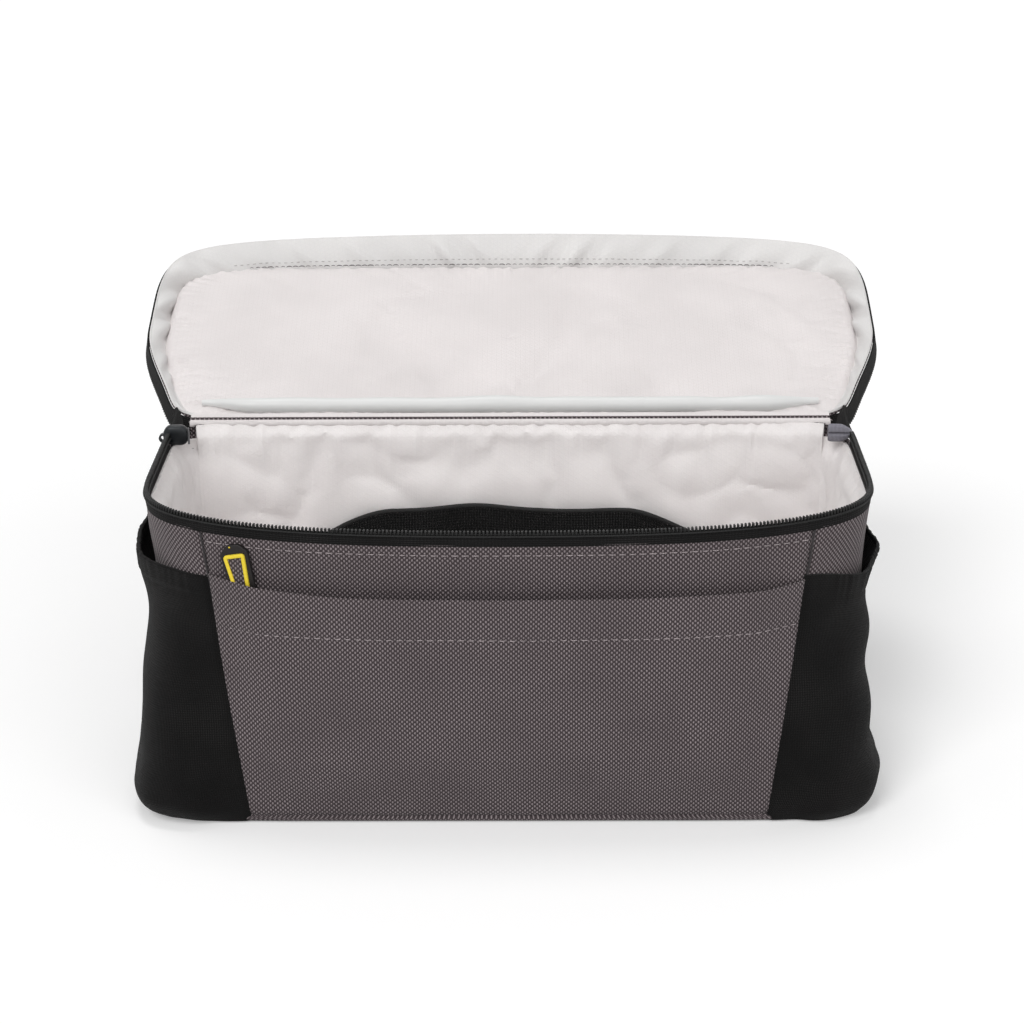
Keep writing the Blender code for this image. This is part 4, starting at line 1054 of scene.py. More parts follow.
# the soft inner panel sinks to its seam and puckers along it
def buildLidPad():
    x, y, s = lidGrid(lidStack - 0.0004, padSizes["columns"], padSizes["rows"])
    toSeam = (1 - s) * np.hypot(x, y) / np.maximum(s, 0.2)
    around = np.arctan2(y / halfDepth, x / halfLength) * 0.16
    puckers = ripples(around, toSeam * 0.15, 0.0075, 64, spread=0.5) * padSizes["pucker"]
    puckers = puckers * bell(toSeam - 0.003, padSizes["puckerRun"]) * smoothStep(toSeam / 0.003)
    broad = ripples(x, y, 0.085, 63) * padSizes["dent"] * smoothStep(toSeam / 0.02)
    full = smoothStep((toSeam + 0.0008) / padSizes["round"]) ** 0.7
    back = lidTop(y) - bag["shell"] - 0.0006
    low = lidTop(y) - liningDrop - bag["liner"] * 0.5 - padFill(y)
    face = np.stack([x, y, back - 0.0005 + (low - back + 0.0005) * full - (puckers + broad) * 0.8], -1)
    puffed = puff(face[::-1], (s > 0.985)[::-1], pressure=1.2, slack=0.010, cap=0.0012)[::-1]
    piece = slab("lidLiningPad", opened(np.stack([x, y, back], -1)), opened(puffed), lining,
                 uv=np.stack([x, y], -1))
    finished(piece, "lid", "lining", "lid_lining", "lid_foam")


bandShares = np.linspace(-0.06, 1.0, 26)


def bandRows(places, depth):
    band = gussetRows(places, bandShares, 0.0003, 65)
    normals = gridNormals(band, True)
    run = np.minimum(places, 1 - places) * lidRun
    corner = (0.45 + bell(run - 0.295, 0.045)) * smoothStep(np.abs(run - 0.1975) / 0.022)
    share = np.clip(bandShares, 0, 1)[:, None]
    folds = 0.75 + ripples(run[None] * 1.0 - share * 0.014, share * 0.014, 0.024, 67, spread=0.8)
    inward = 0.0019 * np.clip(folds, 0, None) * corner[None] * np.sin(pi * share) ** 0.7
    roll = 0.0010 * smoothStep((bandShares - 0.80) / 0.20)[:, None]
    return band - normals * (depth + roll + inward)[..., None]


def buildLidBand():
    places = np.linspace(0, 1, 721)
    depth = bag["shell"] + gap
    piece = slab("lidGussetLining", opened(bandRows(places, depth * 0.9)), opened(bandRows(places, depth + bag["liner"])),
                 bandLining, ring=True)
    finished(piece, "lid", "lining", "lid_gusset_lining")


bindingSizes = {"radius": 0.0044, "endRadius": 0.0018, "taper": 0.030, "lift": 0.0050, "span": 0.1648}


# the rolled seam along the hinge, thin and raised at its ends
def buildLidBinding():
    xs = np.linspace(-bindingSizes["span"], bindingSizes["span"], 200)
    toEnd = bindingSizes["span"] - np.abs(xs)
    taper = smoothStep(toEnd / bindingSizes["taper"])
    size = bindingSizes["endRadius"] + (bindingSizes["radius"] - bindingSizes["endRadius"]) * taper
    size = size * (1 + 0.07 * ripples(xs, xs * 0, 0.045, 72))
    y = lidSizes["pipingY"] + 0.0022 - bindingSizes["lift"] * (1 - taper) + ripples(xs, xs * 0, 0.10, 71) * 0.0004
    under = lidTop(y) - liningDrop - bag["liner"] - size * 0.55
    piece = tube("lidBinding", opened(np.stack([xs, y, under], -1)), size, binding, sides=16)
    finished(piece, "lid", "binding", "lid_binding")


buildLidCover()
buildLidPad()
buildLidBand()
buildLidBinding()
print("lid done")


def lidTapeRow(places, along):
    splay, run = splayAt(places)
    share = smoothStep(run / lidSizes["foldRun"])
    angle = np.radians(lidSizes["foldEnd"] + (lidSizes["fold"] - lidSizes["foldEnd"]) * share)
    at = pointsOn(lidPlan, places, splay + gap + along * np.cos(angle))
    at[..., 2] = lidEdge(places) + zipSizes["tape"] + along * np.sin(angle)
    direction = normalsOn(lidPlan, places) * np.cos(angle)[:, None] + np.array([0, 0, 1.0]) * np.sin(angle)[:, None]
    return at, direction


def turnVectors(vectors):
    return opened(np.asarray(vectors) + np.array([0, hingeY, hingeZ])) - np.array([0, hingeY, hingeZ])


def buildLidZip():
    places = np.linspace(lidZipStart, 1 - lidZipStart, 520)
    rows = np.array([lidTapeRow(places, along)[0] for along in np.linspace(lidSizes["tapeWidth"], -0.0006, 8)])
    piece = clothSlab("lidZipTape", opened(rows), 0.0009, tape)
    finished(piece, "lid", "zip_tape", "lid_zip_tape")
    path, direction = lidTapeRow(places, lidSizes["tapeWidth"] + 0.0008)
    teeth = repeatAlong("lidZipTeeth", opened(path), turnVectors(direction), units["lidTooth"], zipSizes["pitch"],
                        teethBlack, 0.03, 52)
    finished(teeth, "lid", "zip_coil", "lid_zip_coil")


buildLidZip()
print("lid zip done")

# ---- stitches of the lid

def buildLidStitches():
    # dark dashes where the inner panel meets the band, and a finer row of stitches on the band
    first = placeOnFront(lidPlan, -0.150)
    places = np.linspace(first, 1 - first, 500)
    seam = pointsOn(lidPlan, places, -lidStack - 0.0001)
    seam[..., 2] = lidTop(seam[..., 1]) - bag["shell"] - 0.0030 - padFill(seam[..., 1])
    down = np.broadcast_to((0.0, -0.6, -0.8), seam.shape)
    dashes = repeatAlong("lidSeamStitch", opened(seam), turnVectors(down), units["dash"], 0.0036, seamThread, 0.3, 81)
    finished(dashes, "lid", "lining")
    full = np.linspace(0, 1, 721)
    band = bandRows(full, bag["shell"] + gap + bag["liner"] + 0.0001)
    normals = -gridNormals(band, True)
    chosen = (full > first - 0.010) & (full < 1 - first + 0.010)
    level = int(np.argmin(np.abs(bandShares - 0.52)))
    row = band[level][chosen]
    small = repeatAlong("lidBandStitch", opened(row), turnVectors(normals[level][chosen]), units["smallStitch"],
                        0.0036, paleThread, 0.15, 82)
    finished(small, "lid", "lining")
    xs = np.linspace(-0.160, 0.160, 300)
    y = np.full(xs.shape, 0.0700)
    strip = np.stack([xs, y, lidTop(y) - liningDrop - bag["liner"] - 0.0001], -1)
    up = np.broadcast_to((0.0, 0.0, -1.0), strip.shape)
    stitches = repeatAlong("lidHingeStitch", opened(strip), turnVectors(up), units["smallStitch"], 0.0030,
                           paleThread, 0.1, 83)
    finished(stitches, "lid", "lining")


buildLidStitches()
print("lid stitches done")

# ---- padded lining of the walls and floor

liningSizes = {"floor": 0.0049, "fade": 0.012, "rows": 70, "backColumns": 170, "sideColumns": 90}


def liningOutset(wall, seed):
    def outset(places, z):
        under = rimHeight(places) - z
        if wall == "back":
            lean = 1 - smoothStep((under - gap * 2) / 0.0065)
        else:
            lean = 1 - smoothStep((under - bag["tapeShow"]) / liningSizes["fade"])
        depth = linerInset + (bag["shell"] + gap - linerInset) * lean + bag["liner"]
        toSeam = runToSeams(places, z, wall)
        run = places * planAt(bag["rim"])[4][-1]
        fade = smoothStep(toSeam / 0.010) * smoothStep(z / 0.02)
        broad = np.abs(ripples(run, z * 1.3, 0.060, seed)) * 0.0009 * smoothStep(under / 0.02)
        crumple = ripples(run, z * 0.5, 0.024, seed + 1, spread=1.2) * 0.00045 * smoothStep(under / 0.012)
        puckers = ripples(run, z * 0.1, 0.0085, seed + 2, spread=0.4) * 0.00042 * bell(under - 0.009, 0.011)
        stitched = 0.0007 * bell(under - bag["tapeShow"] - 0.0052, 0.0013) if wall != "back" else 0.0
        return -depth - (broad + crumple + puckers) * fade + stitched * fade - 0.0004
    return outset


def buildLining():
    foot = liningSizes["floor"]
    for wall, seed in (("back", 91), ("front", 93), ("left", 95), ("right", 97)):
        columns = liningSizes["backColumns"] if wall in ("front", "back") else liningSizes["sideColumns"]
        drop = gap * 2 if wall == "back" else bag["tapeShow"] + gap
        top = lambda places: rimHeight(places) - drop
        rows, heights, places = wallRows(wall, foot, top, liningSizes["rows"], columns, liningOutset(wall, seed), 0.0)
        pins = np.zeros(rows.shape[:2], bool)
        pins[0], pins[-1], pins[:, 0], pins[:, -1] = True, True, True, True
        inward = puff(rows[:, ::-1], pins, pressure=0.6, slack=0.014, cap=0.0011, bend=0.03)[:, ::-1]
        back = []
        for row, z in zip(places, heights):
            lean = 0 if wall == "back" else 1 - smoothStep((rimHeight(row) - bag["tapeShow"] - z) / liningSizes["fade"])
            middle = float(np.mean(z))
            back.append(wallPoints(row, middle, -(bag["shell"] + 0.0005) - 0.0002 * lean, z))
        piece = slab("padding" + wall.capitalize(), np.array(back), inward, insideLining)
        node = wall if wall in ("front", "back") else "side_" + wall
        finished(piece, "bag", "lining", "lining_" + node, "foam_" + node)
        if wall != "back":
            drop = bag["tapeShow"] + 0.0052
            first, last = wallSpan(wall, bag["rim"], 0.003)
            along = np.linspace(first, last, 200)
            z = rimHeight(along) - drop
            row = wallPoints(along, bag["rim"], liningOutset(wall, seed)(along, z) - 0.0001, z)
            sewn = repeatAlong("liningStitch" + wall.capitalize(), row, -wallNormals(along, bag["rim"]),
                               units["smallStitch"], 0.0030, paleThread, 0.1, seed + 4)
            finished(sewn, "bag", "lining")
    ring = []
    for inset in (0.0, 0.0006, 0.004):
        ring.append(wallPoints(np.linspace(0, 1, 361), foot, -linerInset - inset, foot - 0.0006 - inset * 0.02))
    inside = [ring[-1] * np.array([share, share, 1.0]) for share in np.linspace(0.05, 0.97, 18)]
    rows = np.array(inside + ring[::-1])
    rows[..., 2] += ripples(rows[..., 0], rows[..., 1], 0.06, 99) * 0.0002
    piece = slab("liningFloor", rows - np.array([0, 0, 0.0006]), rows, insideLining, uv=rows[..., :2].copy(), ring=True)
    closeCentre(piece)
    flipIfNeeded(piece)
    finished(piece, "bag", "lining", "lining_base")


buildLining()
print("lining done")

# ---- stretch slip pocket inside

innerPocket = {"top": 0.114, "foot": 0.010, "standoff": 0.0062, "edge": 0.4, "cloth": 0.0008, "rise": 0.035}


def innerRows(levels, extra=0.0):
    rows = []
    for level in levels:
        first, last = wallSpan("back", level, 0.03)
        places = np.linspace(first, last, 120)
        across = 1 - np.abs(np.linspace(-1, 1, 120))
        hold = smoothStep(across / innerPocket["edge"]) * smoothStep((level - innerPocket["foot"]) / innerPocket["rise"])
        away = gap + (innerPocket["standoff"] - gap) * hold
        sway = ripples(places * 0.95, np.full(places.shape, level * 0.3), 0.06, 101) * 0.0008 * hold
        rise = ripples(places * 0.95, places * 0, 0.11, 102) * 0.0016 * smoothStep((level - 0.08) / 0.03) * hold
        rise = rise - 0.030 * (1 - smoothStep(across / 0.55)) * level / innerPocket["top"]
        rows.append(wallPoints(places, level, -(linerInset + bag["liner"] + 0.0016 + away + extra) + sway, level + rise))
    return np.array(rows)


def buildInnerPocket():
    rows = innerRows(np.linspace(innerPocket["foot"], innerPocket["top"] - 0.001, 40))
    piece = clothSlab("innerSlipPocket", rows, innerPocket["cloth"], meshCloth)
    finished(piece, "bag", "stretch", "inner_mesh_pocket")
    edge = innerRows([innerPocket["top"] - 0.004, innerPocket["top"] - 0.0012])
    binding = tube("innerPocketEdge", edge[1], 0.0012, tapeEdge, sides=10)
    finished(binding, "bag", "elastic", "inner_pocket_elastic")


buildInnerPocket()
print("inner pocket done")

# ---- hinge cloth between the bag and the lid

def buildHinge():
    span = 0.1690
    xs = np.linspace(-span, span, 240)
    # inside: from the top of the back lining over to the lid's lining, with a shadowed seam between them
    profile = [(0.0758, 0.1564), (0.0755, 0.1570), (0.0754, 0.1576), (0.0757, 0.1581), (0.0762, 0.1582),
               (0.0770, 0.1578), (0.0790, 0.1583), (0.0815, 0.1590), (0.0840, 0.1600)]
    rows = []
    for index, (y, z) in enumerate(profile):
        early = max(1 - index / 5, 0)
        wave = ripples(xs, xs * 0 + index * 0.0006, 0.0085, 111, spread=0.3) * 0.0003 * early
        rows.append(np.stack([xs, y - wave, np.full(xs.shape, z)], -1))
    piece = clothSlab("hingeLining", np.array(rows)[::-1], 0.0006, lining)
    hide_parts("hinge_strip")
    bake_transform(piece)
    line = np.stack([xs, np.full(xs.shape, 0.0772), np.full(xs.shape, 0.1582)], -1)
    up = np.broadcast_to((0.0, -0.3, 0.95), line.shape)
    seam = repeatAlong("hingeSeamStitch", line, up, units["smallStitch"], 0.0030, greyThread, 0.2, 113)
    finished(seam, "bag", "lining")
    # outside: a woven strip over the back edge
    profile = [(0.0784, 0.1500), (0.0786, 0.1550), (0.0788, 0.1582), (0.0795, 0.1594), (0.0806, 0.1590),
               (0.0812, 0.1576), (0.0815, 0.1560)]
    rows = [np.stack([xs, np.full(xs.shape, y), np.full(xs.shape, z)], -1) for y, z in profile]
    piece = clothSlab("hingeCloth", np.array(rows)[:, ::-1], 0.0006, weave)
    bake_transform(piece)


cornerSizes = {"bagInner": 0.1700, "lidInner": 0.1765, "outer": 0.1806, "thick": 0.0009, "arch": 0.0010}


# zip tape that turns the corner at each end of the hinge
def buildHingeCorners():
    profile = [(0.0590, 0.1545), (0.0640, 0.1558), (0.0700, 0.1572), (0.0760, 0.1586), (0.0820, 0.1596),
               (0.0870, 0.1600), (0.0910, 0.1600), (0.0940, 0.1598)]
    across = np.linspace(0, 1, 22)
    for side, name in ((-1, "Left"), (1, "Right")):
        rows = []
        for index, (y, z) in enumerate(profile):
            narrow = 0.0022 * sin(pi * index / (len(profile) - 1))
            share = smoothStep(index / (len(profile) - 1))
            inner = cornerSizes["bagInner"] + (cornerSizes["lidInner"] - cornerSizes["bagInner"]) * share
            x = side * (inner + (cornerSizes["outer"] - narrow - inner) * across)
            arch = cornerSizes["arch"] * np.sin(pi * across) + 0.0005 * np.sin(across * 9 + index * 0.7)
            rows.append(np.stack([x, np.full(x.shape, y), z + arch], -1))
        rows = np.array(rows)
        if side < 0:
            rows = rows[:, ::-1]
        piece = clothSlab("hingeCorner" + name, rows, cornerSizes["thick"], tape)
        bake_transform(piece)


buildHinge()
buildHingeCorners()
print("hinge done")

# ---- small moulded parts; the zip pull from a copy of its solid with softened edges

def softened(node, name, finish, width, segments=3, angle=30.0):
    mesh = nodes[node].data.copy()
    mesh.name = name
    piece = newObject(name, mesh, finish)
    weld(piece, 0.00001)
    work = bmesh.new()
    work.from_mesh(piece.data)
    bmesh.ops.dissolve_limit(work, angle_limit=radians(2), verts=work.verts, edges=work.edges)
    work.to_mesh(piece.data)
    work.free()
    bevel = piece.modifiers.new("softEdge", "BEVEL")
    bevel.width = width
    bevel.segments = segments
    bevel.limit_method = "ANGLE"
    bevel.angle_limit = radians(angle)
    return settle(piece, 35.0)


def mapFromObject(piece):
    mesh = piece.data
    if not mesh.uv_layers:
        mesh.uv_layers.new(name="clothMap")
    layer = mesh.uv_layers[0]
    layer.name = "clothMap"
    for loop in mesh.loops:
        at = mesh.vertices[loop.vertex_index].co
        layer.data[loop.index].uv = (at.x + at.y, at.z)


# a thick plate between a front outline and its back, in the wall's leaning plane
def plate(name, outlines, depths, finish, place, lean, body, slotName, *replaced):
    work = bmesh.new()
    rings = []
    for outline, depth in zip(outlines, depths):
        rings.append([work.verts.new((u, -depth, v)) for u, v in outline])
    for ring, after in zip(rings[:-1], rings[1:]):
        for index in range(len(ring)):
            other = (index + 1) % len(ring)
            work.faces.new((ring[index], ring[other], after[other], after[index]))
    if len(outlines) < 5:
        work.faces.new(rings[0][::-1])
        work.faces.new(rings[-1])
    else:
        for index in range(len(rings[0])):
            other = (index + 1) % len(rings[0])
            work.faces.new((rings[-1][index], rings[-1][other], rings[0][other], rings[0][index]))
    bmesh.ops.recalc_face_normals(work, faces=work.faces)
    mesh = bpy.data.meshes.new(name)
    work.to_mesh(mesh)
    work.free()
    turn = Matrix.Translation(place) @ Matrix.Rotation(lean, 4, "Y")
    mesh.transform(turn)
    mesh.shade_smooth()
    mesh.set_sharp_from_angle(angle=radians(38))
    piece = newObject(name, mesh, finish)
    return finished(piece, body, slotName, *replaced)


# a closed outline with rounded corners from its corner points
def roundedOutline(corners, radius, steps=5):
    outline = []
    count = len(corners)
    for index in range(count):
        before, here, after = (np.array(corners[(index + k) % count]) for k in (-1, 0, 1))
        a, b = before - here, after - here
        reach = min(radius, np.linalg.norm(a) * 0.45, np.linalg.norm(b) * 0.45)
        a, b = here + a / np.linalg.norm(a) * reach, here + b / np.linalg.norm(b) * reach
        for step in range(steps + 1):
            t = step / steps
            outline.append(tuple((1 - t) ** 2 * a + 2 * t * (1 - t) * here + t * t * b))
    return outline


def insetOutline(outline, distance):
    points = np.array(outline)
    ahead, behind = np.roll(points, -1, 0) - points, points - np.roll(points, 1, 0)
    along = ahead / np.linalg.norm(ahead, axis=1, keepdims=True) + behind / np.linalg.norm(behind, axis=1, keepdims=True)
    along = along / np.linalg.norm(along, axis=1, keepdims=True)
    center = points.mean(0)
    normal = np.stack([-along[:, 1], along[:, 0]], -1)
    if ((center - points) * normal).sum() < 0:
        normal = -normal
    return [tuple(p) for p in points + normal * distance]


tabSizes = {"x": -0.1306, "topDrop": 0.0112, "lean": 12.0, "length": 0.036, "topHalf": 0.0071, "footHalf": 0.0060,
            "thick": 0.0021, "chamfer": 0.0038, "loopTop": -0.0044, "loopTopHalf": 0.0057, "loopFootHalf": 0.0036,
            "loopFoot": -0.0300, "bar": 0.0019, "proud": 0.0011}


# the moulded tab: a dark plate with a raised loop and a sunk weave in the loop's slot
def buildFrontTab():
    t = tabSizes
    place = placeAtX(t["x"], bag["rim"], True)
    at = wallPoints(place, bag["rim"])
    slope = float(wallPoints(placeAtX(t["x"], 0.13, True), 0.13)[1] - at[1]) / (bag["rim"] - 0.13)
    height = float(rimHeight(place)) - t["topDrop"]
    face = Vector((t["x"], float(at[1]) + slope * t["topDrop"] - gap - 0.0012, height))
    face.y += float(wallNormals(place, bag["rim"])[1]) * 0.0003
    normal = wallNormals(place, bag["rim"])
    swing = Matrix.Rotation(atan2(float(normal[0]), float(-normal[1])), 4, "Z")
    corners = [(-t["topHalf"] + t["chamfer"], 0), (t["topHalf"] - t["chamfer"], 0), (t["topHalf"], -t["chamfer"]),
               (t["footHalf"], -t["length"]), (-t["footHalf"], -t["length"]), (-t["topHalf"], -t["chamfer"])]
    body = roundedOutline(corners, 0.0016)
    outlines = [body, body, insetOutline(body, 0.0004)]
    thick = t["thick"]
    pieces = [plate("frontTab", outlines, [-thick * 0.4, thick * 0.45, thick * 0.6], rubberBlack, face,
                    -radians(t["lean"]), "bag", "tab", "front_tab")]
    loop = roundedOutline([(-t["loopTopHalf"], t["loopTop"]), (t["loopTopHalf"], t["loopTop"]),
                           (t["loopFootHalf"], t["loopFoot"]), (-t["loopFootHalf"], t["loopFoot"])], 0.0022)
    hole = insetOutline(loop, t["bar"])
    top = thick * 0.6 + t["proud"]
    rings = [loop, insetOutline(loop, 0.0002), insetOutline(loop, 0.0006), insetOutline(loop, t["bar"] - 0.0004), hole,
             hole]
    depths = [thick * 0.4, top - 0.0003, top, top, top - 0.0003, thick * 0.4]
    pieces.append(plate("frontTabRim", rings, depths, rubberYellow, face, -radians(t["lean"]), "bag", "tab_rim",
                        "front_tab_rim"))
    slot = insetOutline(loop, t["bar"] - 0.0002)
    inlay = plate("frontTabInlay", [slot, slot], [thick * 0.4, thick * 0.66], weave, face, -radians(t["lean"]), "bag",
                  "weave")
    mapFromObject(inlay)
    pieces.append(inlay)
    nub = roundedOutline([(-0.0018, -0.0004), (-0.0008, -0.0004), (-0.0008, -0.0013), (-0.0018, -0.0013)], 0.0004)
    pieces.append(plate("frontTabDot", [nub, insetOutline(nub, 0.0002)], [thick * 0.5, thick * 0.72], rubberYellow,
                        face, -radians(t["lean"]), "bag", "tab_rim"))
    for piece in pieces:
        piece.data.transform(Matrix.Translation(face) @ swing @ Matrix.Translation(-face))


sliderSizes = {"x": -0.1742, "y": 0.0605, "z": 0.1564, "halfX": 0.0068, "halfY": 0.0032, "halfZ": 0.0055}


# rounded end cover of the slider, with faint facets round it
def buildSlider():
    s = sliderSizes
    points, faces = [], []
    rings, sides = 14, 40
    for ring in range(rings + 1):
        tilt = pi * ring / rings
        for side in range(sides):
            turn = 2 * pi * side / sides
            wide = (abs(cos(turn)) ** 2.6 + abs(sin(turn)) ** 2.6) ** (-1 / 2.6) * (1 + 0.02 * cos(6 * turn))
            flat = np.sign(cos(tilt)) * abs(cos(tilt)) ** 0.6
            points.append((s["x"] + s["halfX"] * wide * sin(tilt) ** 0.75 * cos(turn), s["y"] - s["halfY"] * flat,
                           s["z"] + s["halfZ"] * wide * sin(tilt) ** 0.75 * sin(turn)))
    for ring in range(rings):
        for side in range(sides):
            a, b = ring * sides + side, ring * sides + (side + 1) % sides
            faces.append((a, a + sides, b + sides, b))
    piece = newObject("zipSlider", meshFrom("zipSlider", points, faces, sharp=60), sliderBlack)
    weld(piece, 0.00002)
    flipIfNeeded(piece)
    finished(piece, "bag", "slider", "zip_slider")
    # the plain metal stop beside it
    rail = np.array([(s["x"] + s["halfX"] - 0.0001, s["y"] - 0.0020, s["z"] + h) for h in np.linspace(-0.0044, 0.0044, 12)])
    finished(tube("zipStop", rail, 0.00055, stopMetal, sides=8), "bag", "slider")


endTabSizes = {"inner": 0.1662, "outer": 0.1798, "y": 0.0605, "z": 0.1566, "half": 0.0048, "thick": 0.0026}


# folded cloth tab: two lips that meet in a crease and run to a point at the outer end
def buildEndTab():
    e = endTabSizes
    points, faces = [], []
    stations, sides = 18, 24
    for station in range(stations + 1):
        t = station / stations
        tall = e["half"] * (1 - max(0.0, (t - 0.42) / 0.58) ** 1.8 * 0.93) * (0.90 + 0.10 * min(t / 0.08, 1.0))
        for side in range(sides):
            turn = 2 * pi * side / sides
            crease = 0.62 * float(np.exp(-(sin(turn) / 0.16) ** 2)) * (cos(turn) < 0)
            depth = e["thick"] * (abs(cos(turn)) ** 0.8) * (1 - crease) * (1 - 0.75 * t ** 3)
            points.append((e["inner"] + (e["outer"] - e["inner"]) * t,
                           e["y"] + (depth if cos(turn) > 0 else -depth) - 0.0002,
                           e["z"] + tall * sin(turn) - 0.0003 * t))
    for station in range(stations):
        for side in range(sides):
            a, b = station * sides + side, station * sides + (side + 1) % sides
            faces.append((a, b, b + sides, a + sides))
    faces += [tuple(range(sides))[::-1], tuple(range(stations * sides, (stations + 1) * sides))]
    mesh = meshFrom("zipEndTab", points, faces, np.array(points)[:, [0, 2]], sharp=50)
    piece = newObject("zipEndTab", mesh, foldedGrey)
    flipIfNeeded(piece)
    finished(piece, "bag", "folded_tab", "zip_end_tab")


buildFrontTab()
buildSlider()
buildEndTab()
finished(softened("zip_pull", "zipPull", sliderBlack, 0.0003), "pull", "slider", "zip_pull")
print("small parts done")

# ---- handlebar straps on the back

strapSizes = {"x": 0.095, "width": 0.025, "thick": 0.0016, "top": 0.141, "flange": 0.010, "radius": 0.0185,
              "reach": 0.018, "patch": 0.0010, "patchHeight": 0.015}


def strapPath():
    sewn = halfDepth + gap + strapSizes["thick"] / 2
    closed = halfDepth + gap + strapSizes["patch"] + gap + strapSizes["thick"] / 2
    loopY = sewn + strapSizes["reach"]
    loopTop = strapSizes["top"] - strapSizes["flange"]
    middle = loopTop - strapSizes["radius"]
    path = [(sewn, strapSizes["top"]), (sewn, loopTop + 0.003), (sewn + 0.0004, loopTop + 0.0012), (sewn + 0.0016, loopTop)]
    for step in range(25):
        turn = radians(90 - 180 * step / 24)
        path.append((loopY + strapSizes["radius"] * cos(turn), middle + strapSizes["radius"] * sin(turn)))
    foot = loopTop - 2 * strapSizes["radius"]
    path += [(closed + 0.0016, foot), (closed + 0.0004, foot - 0.0008), (closed, foot - 0.0020),
             (closed, foot - 0.0016 - strapSizes["patchHeight"])]
    return np.array(path)


def buildStraps():
    path = strapPath()
    across = np.linspace(0.5, -0.5, 21)
    for side, x in (("left", -strapSizes["x"]), ("right", strapSizes["x"])):
        rows = np.array([[(x + strapSizes["width"] * s, y, z) for s in across] for y, z in path[::-1]])
        normals = gridNormals(rows)
        half = strapSizes["thick"] / 2
        soft = (1 - (2 * np.abs(across)) ** 6)[None, :, None] * 0.35 + 0.65
        piece = slab("handlebarStrap" + side.capitalize(), rows + normals * half * soft, rows - normals * half * soft,
                     webbing, round=0.0002)
        finished(piece, "bag", "webbing", "handlebar_strap_" + side)
        patchTop = strapSizes["top"] - strapSizes["flange"] - 2 * strapSizes["radius"] - strapSizes["thick"]
        zs = np.linspace(patchTop - strapSizes["patchHeight"], patchTop, 12)
        xs = np.linspace(x + strapSizes["width"] / 2, x - strapSizes["width"] / 2, 16)
        face = np.array([[(px, halfDepth + gap + strapSizes["patch"], pz) for px in xs] for pz in zs])
        patch = clothSlab("strapPatch" + side.capitalize(), face, strapSizes["patch"], pile, round=0.0002)
        finished(patch, "bag", "hook_patch", "strap_patch_" + side)
        # box of stitches that holds the strap
        left, right = x - 0.0100, x + 0.0100
        low, high = strapSizes["top"] - 0.0085, strapSizes["top"] - 0.0012
        y = halfDepth + gap + strapSizes["thick"] + 0.0001
        loop = [(left, low), (right, low), (right, high), (left, high), (left, low), (right, high)]
        points = []
        for (ax, az), (bx, bz) in zip(loop[:-1], loop[1:]):
            for share in np.linspace(0, 1, 20, endpoint=False):
                points.append((ax + (bx - ax) * share, y, az + (bz - az) * share))
        box = repeatAlong("strapStitch" + side.capitalize(), points, (0.0, 1.0, 0.0), units["smallStitch"], 0.0029,
                          blackThread, 0.08, 121)
        finished(box, "bag", "webbing")


buildStraps()
print("straps done")

# materials of the solids that stay as they are
for node, finish in (("base_board", boardFinish),):
    nodes[node].data.materials.clear()
    nodes[node].data.materials.append(finish)

for unit in units.values():
    bpy.data.objects.remove(unit)

# ---- floor, light and camera

studio = {"ambient": 0.38, "floor": 0.80, "floorGlow": 0.284, "distance": 1.3, "elevation": 19.8,
          "azimuth": 0.59, "roll": -0.366, "across": 0.0015, "up": 0.0327, "lens": 90.05}
suns = {"key": ((-0.369, -0.615, 0.697), 1.25, 28.0), "fill": ((0.515, -0.686, 0.515), 0.55, 45.0),
        "top": ((-0.10, 0.24, 0.966), 0.65, 22.0)}


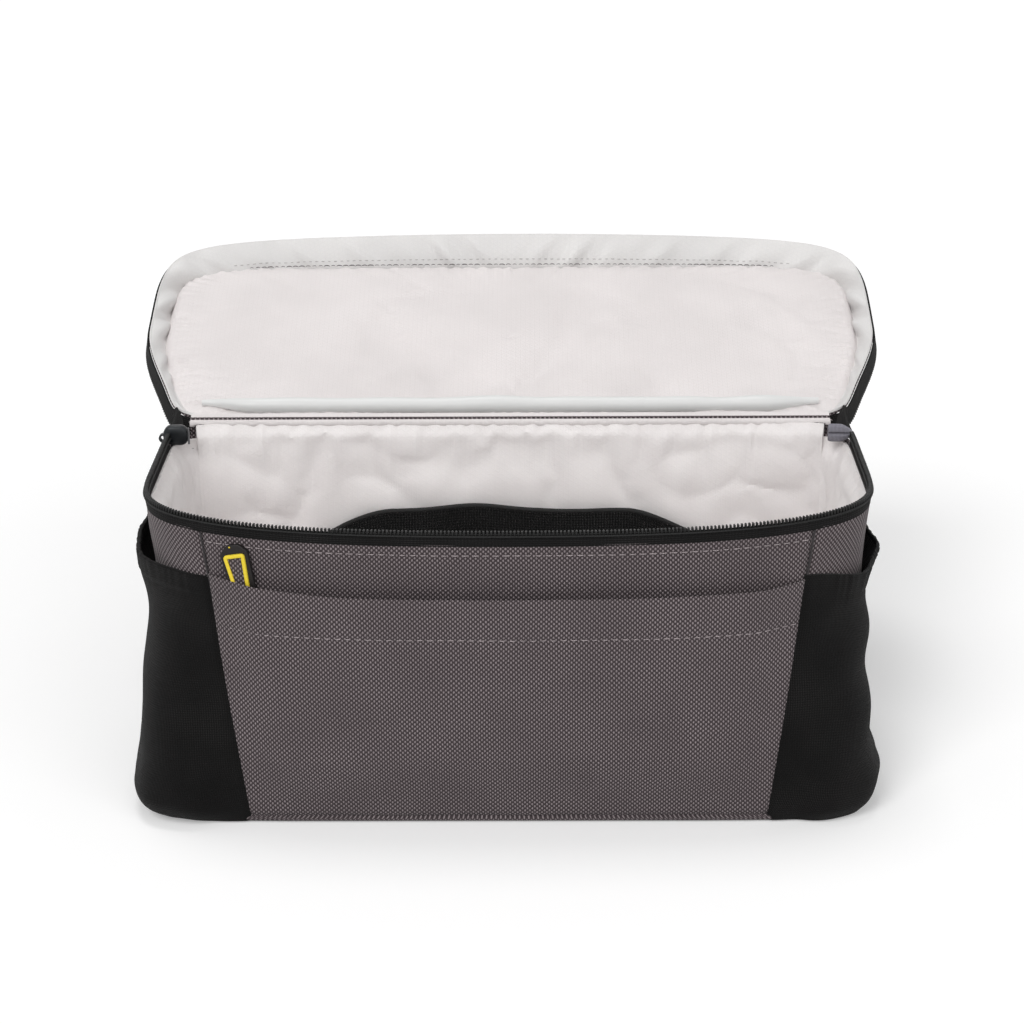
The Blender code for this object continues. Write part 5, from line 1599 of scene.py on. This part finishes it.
def buildStudio():
    mesh = bpy.data.meshes.new("studioFloor")
    mesh.from_pydata([(-9, -9, 0), (9, -9, 0), (9, 9, 0), (-9, 9, 0)], [], [(0, 1, 2, 3)])
    finish = bpy.data.materials.new("studioFloor")
    finish.use_nodes = True
    tree = finish.node_tree
    tree.nodes.clear()
    seen = addNode(tree, "ShaderNodeLightPath").outputs
    any1 = math(tree, "MAXIMUM", seen["Is Camera Ray"], seen["Is Glossy Ray"])
    any2 = math(tree, "MAXIMUM", any1, seen["Is Transmission Ray"])
    plain = addNode(tree, "ShaderNodeBsdfDiffuse", {"Color": (studio["floor"],) * 3 + (1.0,)})
    glow = addNode(tree, "ShaderNodeEmission", {"Color": (1, 1, 1, 1),
                                                "Strength": math(tree, "MULTIPLY", any2, studio["floorGlow"])})
    both = addNode(tree, "ShaderNodeAddShader", {0: plain.outputs[0], 1: glow.outputs[0]})
    out = addNode(tree, "ShaderNodeOutputMaterial")
    tree.links.new(both.outputs[0], out.inputs["Surface"])
    newObject("studioFloor", mesh, finish)

    world = bpy.data.worlds.new("studioWorld")
    world.use_nodes = True
    tree = world.node_tree
    tree.nodes.clear()
    seen = addNode(tree, "ShaderNodeLightPath").outputs
    any1 = math(tree, "MAXIMUM", seen["Is Camera Ray"], seen["Is Glossy Ray"])
    any2 = math(tree, "MAXIMUM", any1, seen["Is Transmission Ray"])
    strength = addNode(tree, "ShaderNodeMapRange", {"Value": any2, "To Min": studio["ambient"], "To Max": 1.0})
    sky = addNode(tree, "ShaderNodeBackground", {"Color": (1, 1, 1, 1), "Strength": strength.outputs[0]})
    out = addNode(tree, "ShaderNodeOutputWorld")
    tree.links.new(sky.outputs[0], out.inputs["Surface"])
    bpy.context.scene.world = world

    for name, (toward, strength, spread) in suns.items():
        light = bpy.data.lights.new(name + "Light", "SUN")
        light.energy = strength
        light.angle = radians(spread)
        lamp = bpy.data.objects.new(name + "Light", light)
        bpy.context.scene.collection.objects.link(lamp)
        lamp.rotation_euler = Vector(toward).to_track_quat("Z", "Y").to_euler()

    camera = bpy.data.objects.new("camera", bpy.data.cameras.new("camera"))
    bpy.context.scene.collection.objects.link(camera)
    azimuth, elevation, roll = (radians(studio[k]) for k in ("azimuth", "elevation", "roll"))
    back = Vector((sin(azimuth) * cos(elevation), -cos(azimuth) * cos(elevation), sin(elevation)))
    right = Vector((cos(azimuth), sin(azimuth), 0.0))
    up = back.cross(right)
    right, up = right * cos(roll) + up * sin(roll), up * cos(roll) - right * sin(roll)
    target = Vector((0, 0, 0.1)) + right * studio["across"] + up * studio["up"]
    camera.matrix_world = Matrix.Translation(target + back * studio["distance"]) @ Matrix(
        (right, up, back)).transposed().to_4x4()
    camera.data.lens = studio["lens"]
    camera.data.clip_end = 60.0
    bpy.context.scene.camera = camera
    bpy.context.scene.view_settings.view_transform = "Standard"


buildStudio()
print("studio done")
